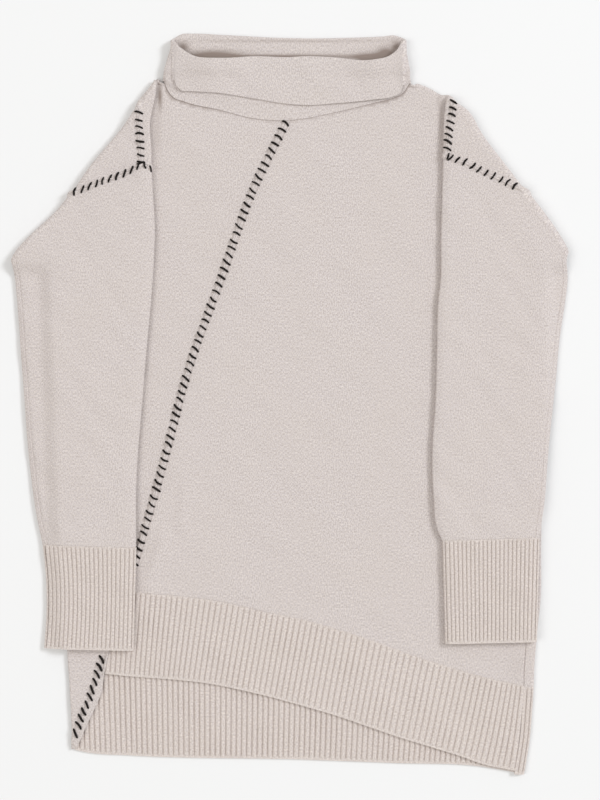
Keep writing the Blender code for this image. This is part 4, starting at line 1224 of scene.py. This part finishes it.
def cuff(side, finish):
    sign = SIDES[side]
    ribs = CUFF_RIBS[side]
    across, angles = tube_ring(rib_phases(ribs) / ribs, rib_phases(CUFF_TURN_RIBS)[1:-1] / CUFF_TURN_RIBS)
    turn = np.arccos(np.clip(np.sin(angles), -1.0, 1.0)) / math.pi
    phase = ribs * across + CUFF_TURN_RIBS * turn
    out_x, out_y, in_x, in_y = CUFF[side]["seam"]
    end_out_x, end_out_y, end_in_x, end_in_y = CUFF[side]["end"]
    long = in_y - end_in_y
    share = rib_rows(long, CUFF_ROWS)
    pinch = CUFF[side]["waist"] * np.sin(math.pi * share)
    outer = out_x + (end_out_x - out_x) * share - sign * (CORE + pinch)
    inner = in_x + (end_in_x - in_x) * share + sign * CORE
    y = (in_y + (end_in_y - in_y) * share) * (1 - across) + (out_y + (end_out_y - out_y) * share) * across
    x = inner + (outer - inner) * across
    near_foot = ease((1 - share) * long / SELVEDGE - SELVEDGE_START)
    depth = near_foot * ease(share * long / RIB_START)
    crest = rib_shape(phase)[None, :]
    rib = WALL + RIB_CREST + RIB_DEPTH * (crest - 1) * depth - SELVEDGE_DROP * (1 - near_foot)
    rib = rib + puff(x, inner, outer, angles)
    radii = (BETWEEN / 2 + rib, np.full_like(rib, BETWEEN / 2))
    # Painted shade in the ribs' valleys, fading out at both ends of the cuff
    return add_tube("cuff_" + side, side, x, y, angles, radii, inner, outer, finish,
                    painted_shade=(1 - crest) * depth)


def collar_stations():
    """Round the neck: seam, roll and edge points, and the angle that each station faces."""
    share = (1 - np.cos(np.linspace(0.0, math.pi, COLLAR_AROUND))) / 2
    front_x = NECK_FRONT[0][0] + (NECK_FRONT[-1][0] - NECK_FRONT[0][0]) * share
    read = [line_of([(row[0], row[i]) for row in COLLAR_FRONT]) for i in range(1, 5)]
    behind = [line_of([(row[0], row[i]) for row in COLLAR_BACK]) for i in range(1, 4)]
    upward = np.full_like(front_x, 90.0)
    front = np.array([front_x, NECK_FRONT_AT(front_x), *(r(front_x) for r in read), upward]).T
    back_x = front_x[::-1]
    roll_x, roll_y, edge_y = (r(back_x) for r in behind)
    back = np.array([back_x, NECK_BACK_AT(back_x), roll_x, roll_y, roll_x, edge_y, -upward]).T
    ends = []
    for before, after, first in ((front[-1], back[0], 90.0), (back[-1], front[0], 270.0)):
        t = np.linspace(0.0, 1.0, COLLAR_TURN + 1)[1:-1, None]
        mixed = before + (after - before) * t
        mixed[:, 6] = first - 180.0 * t[:, 0]
        ends.append(mixed)
    return np.vstack([front, ends[0], back, ends[1]])


def collar(finish):
    """The rolled collar: a stand up from the neck seam, over the roll, and a flap down outside."""
    stations = collar_stations()
    seam, roll, edge = stations[:, 0:2], stations[:, 2:4], stations[:, 4:6]
    facing = np.radians(stations[:, 6])
    stand_in, stand_out = BETWEEN / 2, BETWEEN / 2 + WALL
    flap_in, flap_out = stand_out + COLLAR_BETWEEN, stand_out + COLLAR_BETWEEN + WALL
    middle = (stand_out + flap_in) / 2
    rows = [(seam + (roll - seam) * t, 0.0, 0.0, stand_in, stand_out, True)
            for t in np.linspace(0.0, 1.0, STAND_STEPS)]
    for turn in np.linspace(0.0, math.pi, ROLL_STEPS)[1:-1]:
        wide, narrow = middle - stand_in, middle - stand_out
        rows.append((roll, wide * math.sin(turn), narrow * math.sin(turn), middle - wide * math.cos(turn),
                     middle - narrow * math.cos(turn), False))
    rows += [(roll + (edge - roll) * t, 0.0, 0.0, flap_out, flap_in, False)
             for t in np.linspace(0.0, 1.0, FLAP_STEPS)]
    settle_y, settle_run = COLLAR_SETTLE
    rise_y, rise_run = COLLAR_RISE
    rest, rest_x, rest_run = COLLAR_REST
    lift_y, lift_run = COLLAR_LIFT_FROM
    points, flat, painted_shade = [], [], []
    run = 0.0
    around = np.concatenate([[0.0], np.cumsum(np.hypot(*np.diff(roll, axis=0).T))])
    before = rows[0][0]
    for place, rise_out, rise_in, first, second, standing in rows:
        run += float(np.mean(np.hypot(*(place - before).T))) + ROLL_ROW * (rise_out > 0)
        before = place
        for radius, rise in ((second, rise_in), (first, rise_out)):
            x, y = place[:, 0], place[:, 1]
            if standing:
                body = ease((y - seam[:, 1]) / np.maximum(settle_y - seam[:, 1], STAND_LEAST))
            else:
                body = ease((y - rise_y) / rise_run)
            air = COLLAR_AIR * ease((y - settle_y) / settle_run)
            air = air * (rest + (1 - rest) * ease((np.abs(x) - rest_x) / rest_run))
            core = CORE + (COLLAR_CORE - CORE) * body + air
            reach = radius + air
            open_lift = sum(high * np.exp(-(((x - at) / wide) ** 2)) for at, wide, high in COLLAR_LIFTS)
            open_lift = open_lift * ease((y - lift_y) / lift_run) * (np.sin(facing) > FACING)
            z = np.maximum(core + reach * np.sin(facing), 0.0) + open_lift
            points.append(np.column_stack([x + reach * np.cos(facing), y + rise, z]))
            flat.append(np.column_stack([around, np.full(len(around), run)]))
            # Painted deep shade in the collar's opening, on the stand's rows that face back
            painted_shade.append(shade_at(x, y, COLLAR_SHADE_PATCHES) * standing * (np.sin(facing) < FACING))
    shell = ring_faces(len(rows), len(stations))
    piece = add_cloth("collar", np.vstack(points), shell, np.vstack(flat), finish,
                      painted_shade=np.concatenate(painted_shade), folds=False)
    return piece


def surface_of(pieces):
    """One search tree over the finished cloth, in metres."""
    verts, polys = [], []
    for piece in pieces:
        first = len(verts)
        verts += [v.co[:] for v in piece.data.vertices]
        polys += [[first + i for i in p.vertices] for p in piece.data.polygons]
    return BVHTree.FromPolygons(verts, polys)


def height_over(tree, x, y):
    """Height in millimetres of the highest cloth at a place given in the tables' frame."""
    for aside in (0.0, 0.4, -0.4):
        above = Vector(((x + aside - CENTRE[0]) * MM, (y - CENTRE[1]) * MM, 0.1))
        hit = tree.ray_cast(above, Vector((0.0, 0.0, -1.0)))[0]
        if hit is not None:
            return hit.z / MM
    return None


def tube(points, radii, faces, verts):
    """Add a round yarn through points to lists of verts and faces."""
    points = np.asarray(points)
    along = np.gradient(points, axis=0)
    along /= np.linalg.norm(along, axis=1)[:, None]
    across = np.cross(along, (0.0, 0.0, 1.0))
    across /= np.maximum(np.linalg.norm(across, axis=1), 1e-6)[:, None]
    up = np.cross(across, along)
    first = len(verts)
    for p, a, u, r in zip(points, across, up, radii):
        for k in range(YARN_SIDES):
            turn = 2 * math.pi * k / YARN_SIDES
            verts.append(tuple(p + r * (math.cos(turn) * a + math.sin(turn) * u)))
    for row in range(len(points) - 1):
        for k in range(YARN_SIDES):
            j = (k + 1) % YARN_SIDES
            a, b = first + row * YARN_SIDES, first + (row + 1) * YARN_SIDES
            faces.append((a + k, a + j, b + j, b + k))
    last = first + (len(points) - 1) * YARN_SIDES
    faces.append(tuple(first + k for k in range(YARN_SIDES))[::-1])
    faces.append(tuple(last + k for k in range(YARN_SIDES)))


def one_stitch(x, y, lean, hand, thick, tree, faces, verts):
    """One stitch across a place on the cloth: a bent piece of yarn that dives in at both ends."""
    turn = math.radians(hand.uniform(-STITCH_TURN, STITCH_TURN))
    grow = hand.uniform(*STITCH_LENGTHS)
    dx = (lean[0] * math.cos(turn) - lean[1] * math.sin(turn)) * grow
    dy = (lean[0] * math.sin(turn) + lean[1] * math.cos(turn)) * grow
    bend = hand.uniform(-STITCH_BEND, STITCH_BEND)
    thick = thick * hand.uniform(*STITCH_THICKNESS)
    points, radii = [], []
    for t in np.linspace(-0.5, 0.5, YARN_STEPS):
        curve = bend * math.cos(math.pi * t)
        px, py = x + dx * t - dy * curve / 8, y + dy * t + dx * curve / 8
        z = height_over(tree, px, py)
        if z is None:
            return
        points.append((px, py, z + thick * (STITCH_RISE - STITCH_DIVE * abs(2 * t) ** 6)))
        radii.append(thick * (1 - STITCH_TAPER * abs(2 * t) ** 3))
    tube(points, radii, faces, verts)


def stitches(name, runs, tree, finish):
    """Whip stitches over seams; each run is a line, a pitch, the stitches' lean, and the yarn's radius."""
    hand = random.Random(name)
    verts, faces = [], []
    for line, pitch, lean, thick in runs:
        line = np.asarray(line, dtype=float)
        run = np.concatenate([[0.0], np.cumsum(np.hypot(*np.diff(line, axis=0).T))])
        at = pitch * 0.5
        while at < run[-1]:
            x, y = np.interp(at, run, line[:, 0]), np.interp(at, run, line[:, 1])
            one_stitch(x, y, lean, hand, thick, tree, faces, verts)
            at += pitch * hand.uniform(*STITCH_PITCH)
    shift = np.array([CENTRE[0], CENTRE[1], 0.0])
    mesh = bpy.data.meshes.new(name)
    mesh.from_pydata(((np.asarray(verts) - shift) * MM).tolist(), [], faces)
    mesh.materials.append(finish)
    mesh.shade_smooth()
    piece = bpy.data.objects.new(name, mesh)
    bpy.context.collection.objects.link(piece)
    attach(piece, "root")
    return piece


def folded(line):
    """A line on the unfolded cloth, in its folded place as seen from above."""
    x, y = np.asarray(line, dtype=float).T
    return np.column_stack(ease_outline(*fold_arms(x, y, np.zeros_like(x))[:2]))


class Nodes:
    """Short ways to add shader nodes to one material."""

    def __init__(self, name):
        self.material = bpy.data.materials.new(name)
        self.material.use_nodes = True
        self.tree = self.material.node_tree
        self.shader = self.tree.nodes["Principled BSDF"]

    def add(self, kind, settings=None, **inputs):
        node = self.tree.nodes.new(kind)
        for key, value in (settings or {}).items():
            setattr(node, key, value)
        for key, value in inputs.items():
            self.feed(node.inputs[key.replace("_", " ")], value)
        return node

    def feed(self, socket, value):
        if isinstance(value, bpy.types.NodeSocket):
            self.tree.links.new(value, socket)
        else:
            socket.default_value = value

    def math(self, operation, *values):
        node = self.tree.nodes.new("ShaderNodeMath")
        node.operation = operation
        for socket, value in zip(node.inputs, values):
            self.feed(socket, value)
        return node.outputs[0]

    def blend(self, factor, a, b):
        node = self.tree.nodes.new("ShaderNodeMix")
        node.data_type = "RGBA"
        self.feed(node.inputs[0], factor)
        self.feed(node.inputs[6], a)
        self.feed(node.inputs[7], b)
        return node.outputs[2]

    def noise(self, vector, scale, detail=2.0, roughness=0.5):
        node = self.add("ShaderNodeTexNoise", Vector=vector, Scale=scale, Detail=detail, Roughness=roughness)
        return node.outputs["Fac"]

    def spread(self, value, low, high):
        node = self.add("ShaderNodeMapRange", Value=value, From_Min=low, From_Max=high)
        return node.outputs["Result"]


def knit(name, light, dark, cool, warm, shade_color):
    """Heathered knit: loops in columns, flecks of darker and cooler wool, a soft nap, and painted shade
    between the loops and wherever the cloth carries it.
    """
    n = Nodes(name)
    place = n.add("ShaderNodeUVMap", {"uv_map": "cloth"}).outputs[0]
    split = n.add("ShaderNodeSeparateXYZ", Vector=place)
    u = n.math("DIVIDE", split.outputs[0], WALE * MM)
    v = n.math("DIVIDE", split.outputs[1], COURSE * MM)
    leg = n.math("ABSOLUTE", n.math("SUBTRACT", n.math("FRACT", u), 0.5))
    column = n.math("SINE", n.math("MULTIPLY", leg, 2 * math.pi))
    strand = n.math("SINE", n.math("MULTIPLY", n.math("ADD", v, n.math("MULTIPLY", leg, LEG_SLANT)), math.pi))
    loops = n.math("MULTIPLY", column, n.math("ABSOLUTE", strand))
    stretched = n.add("ShaderNodeMapping", Vector=place, Scale=FLECK_STRETCH).outputs[0]
    fleck = n.noise(stretched, *FLECK)
    grain = n.noise(place, *GRAIN)
    blotch = n.noise(place, *BLOTCH)
    cloud = n.noise(place, *CLOUD)
    tone = n.blend(n.spread(fleck, *FLECK_SPREAD), dark, light)
    tone = n.blend(n.math("MULTIPLY", n.spread(blotch, *BLOTCH_SPREAD), BLOTCH_SHARE), tone, cool)
    tone = n.blend(n.math("MULTIPLY", n.spread(cloud, *CLOUD_SPREAD), CLOUD_SHARE), tone, warm)
    # Painted shade between the knit's loops
    hollow = n.math("MULTIPLY", n.math("SUBTRACT", 1.0, loops), LOOP_SHADE)
    tone = n.blend(hollow, tone, shade_color)
    # Painted shade carried by the cloth: rib valleys, seam grooves and ridges, beside the arms and in the
    # collar's opening
    painted_shade = n.add("ShaderNodeAttribute", {"attribute_name": "painted_shade"}).outputs["Fac"]
    tone = n.blend(n.math("MULTIPLY", painted_shade, PAINTED_SHADE_WEIGHT), tone, shade_color)
    n.feed(n.shader.inputs["Base Color"], tone)
    height = n.math("ADD", n.math("MULTIPLY", loops, LOOP_BUMP), n.math("MULTIPLY", grain, GRAIN_BUMP))
    bump = n.add("ShaderNodeBump", Height=height, Strength=BUMP_STRENGTH, Distance=BUMP_HEIGHT)
    n.feed(n.shader.inputs["Normal"], bump.outputs[0])
    n.shader.inputs["Roughness"].default_value = 0.95
    n.shader.inputs["Specular IOR Level"].default_value = 0.15
    n.shader.inputs["Sheen Weight"].default_value = 0.25
    n.shader.inputs["Sheen Roughness"].default_value = 0.6
    n.shader.inputs["Sheen Tint"].default_value = (1.0, 0.97, 0.94, 1.0)
    return n.material


def yarn(name):
    """Twisted black wool."""
    n = Nodes(name)
    place = n.add("ShaderNodeTexCoord").outputs["Object"]
    fleck = n.noise(place, 900.0, 2.0)
    twist = n.add("ShaderNodeTexWave", Vector=place, Scale=420.0, Distortion=1.5).outputs["Fac"]
    n.feed(n.shader.inputs["Base Color"], n.blend(n.spread(fleck, 0.35, 0.7), YARN_DARK, YARN_LIGHT))
    bump = n.add("ShaderNodeBump", Height=twist, Strength=0.5, Distance=0.0004)
    n.feed(n.shader.inputs["Normal"], bump.outputs[0])
    n.shader.inputs["Roughness"].default_value = 0.9
    n.shader.inputs["Specular IOR Level"].default_value = 0.1
    return n.material


def floor_finish():
    """A pale, matt floor without gloss."""
    n = Nodes("pale_floor")
    n.shader.inputs["Base Color"].default_value = (FLOOR_TONE, FLOOR_TONE, FLOOR_TONE, 1.0)
    n.shader.inputs["Roughness"].default_value = 0.9
    n.shader.inputs["Specular IOR Level"].default_value = 0.0
    return n.material


def area_light(name, place, aim, size, power, color):
    """A round soft light that points at a place."""
    lamp = bpy.data.lights.new(name, "AREA")
    lamp.shape = "DISK"
    lamp.size = size
    lamp.energy = power
    lamp.color = color
    holder = bpy.data.objects.new(name, lamp)
    holder.location = place
    holder.rotation_euler = (Vector(aim) - Vector(place)).to_track_quat("-Z", "Y").to_euler()
    bpy.context.collection.objects.link(holder)


def studio():
    """A pale floor, even soft light, and a camera straight above."""
    far = FLOOR_REACH
    corners = [(-far, -far, 0.0), (far, -far, 0.0), (far, far, 0.0), (-far, far, 0.0)]
    mesh = bpy.data.meshes.new("floor")
    mesh.from_pydata(corners, [], [(0, 1, 2, 3)])
    mesh.materials.append(floor_finish())
    floor = bpy.data.objects.new("floor", mesh)
    floor.location.z = -FLOOR_DROP
    bpy.context.collection.objects.link(floor)
    area_light("key", KEY_AT, (0.0, 0.0, 0.0), KEY_SIZE, KEY_POWER, KEY_COLOR)
    area_light("fill", FILL_AT, (0.0, 0.0, 0.0), FILL_SIZE, FILL_POWER, FILL_COLOR)
    world = bpy.data.worlds.new("studio")
    world.use_nodes = True
    sky = world.node_tree.nodes["Background"]
    sky.inputs["Color"].default_value = SKY_COLOR
    sky.inputs["Strength"].default_value = SKY
    bpy.context.scene.world = world
    bpy.context.scene.view_settings.view_transform = "Standard"
    view = bpy.data.cameras.new("camera")
    view.lens = LENS
    camera = bpy.data.objects.new("camera", view)
    camera.location = [value * MM for value in CAMERA_AT]
    bpy.context.collection.objects.link(camera)
    bpy.context.scene.camera = camera


def build():
    plain = knit("plain_knit", PLAIN_LIGHT, PLAIN_DARK, PLAIN_COOL, WARM, PAINTED_SHADE_COLOR)
    rib = knit("rib_knit", RIB_LIGHT, RIB_DARK, RIB_COOL, WARM, PAINTED_SHADE_COLOR)
    wool = yarn("stitch_yarn")
    back = back_panel(plain)
    left = front_left_panel(plain)
    right = front_right_panel(plain)
    front_rib = front_hem_rib(rib)
    back_hem_rib(rib)
    sleeves = {side: sleeve(side, plain) for side in SIDES}
    for side in SIDES:
        cuff(side, rib)
    collar(plain)
    fronts = surface_of([left, right, front_rib])
    slant = (slant_line(0.0, FRONT_RIB_TOP[0][1] - SLANT_SEWN_PAST), *SLANT_SEWING)
    stitches("stitches_slant", [slant, (VENT_STITCHES, *VENT_SEWING)], fronts, wool)
    for side in SIDES:
        arm = surface_of([back, left if side == "left" else right, sleeves[side]])
        seam = [unfold(side, x, y) for x, y in shoulder_line(side, False) if y < SHOULDER_SEWN_FROM[side]]
        hole = [p for p in body_shoulder(side, False)[1] if to_crease(side, *p)[1] > FOLD_RUN / 2]
        stitches("stitches_shoulder_" + side, [(folded(seam), *SHOULDER_SEWING[side])], arm, wool)
        runs = [(folded(hole), *ARMHOLE_SEWING[side])] + list(CORNER_SEWING[side])
        stitches("stitches_armhole_" + side, runs, arm, wool)


studio()
build()
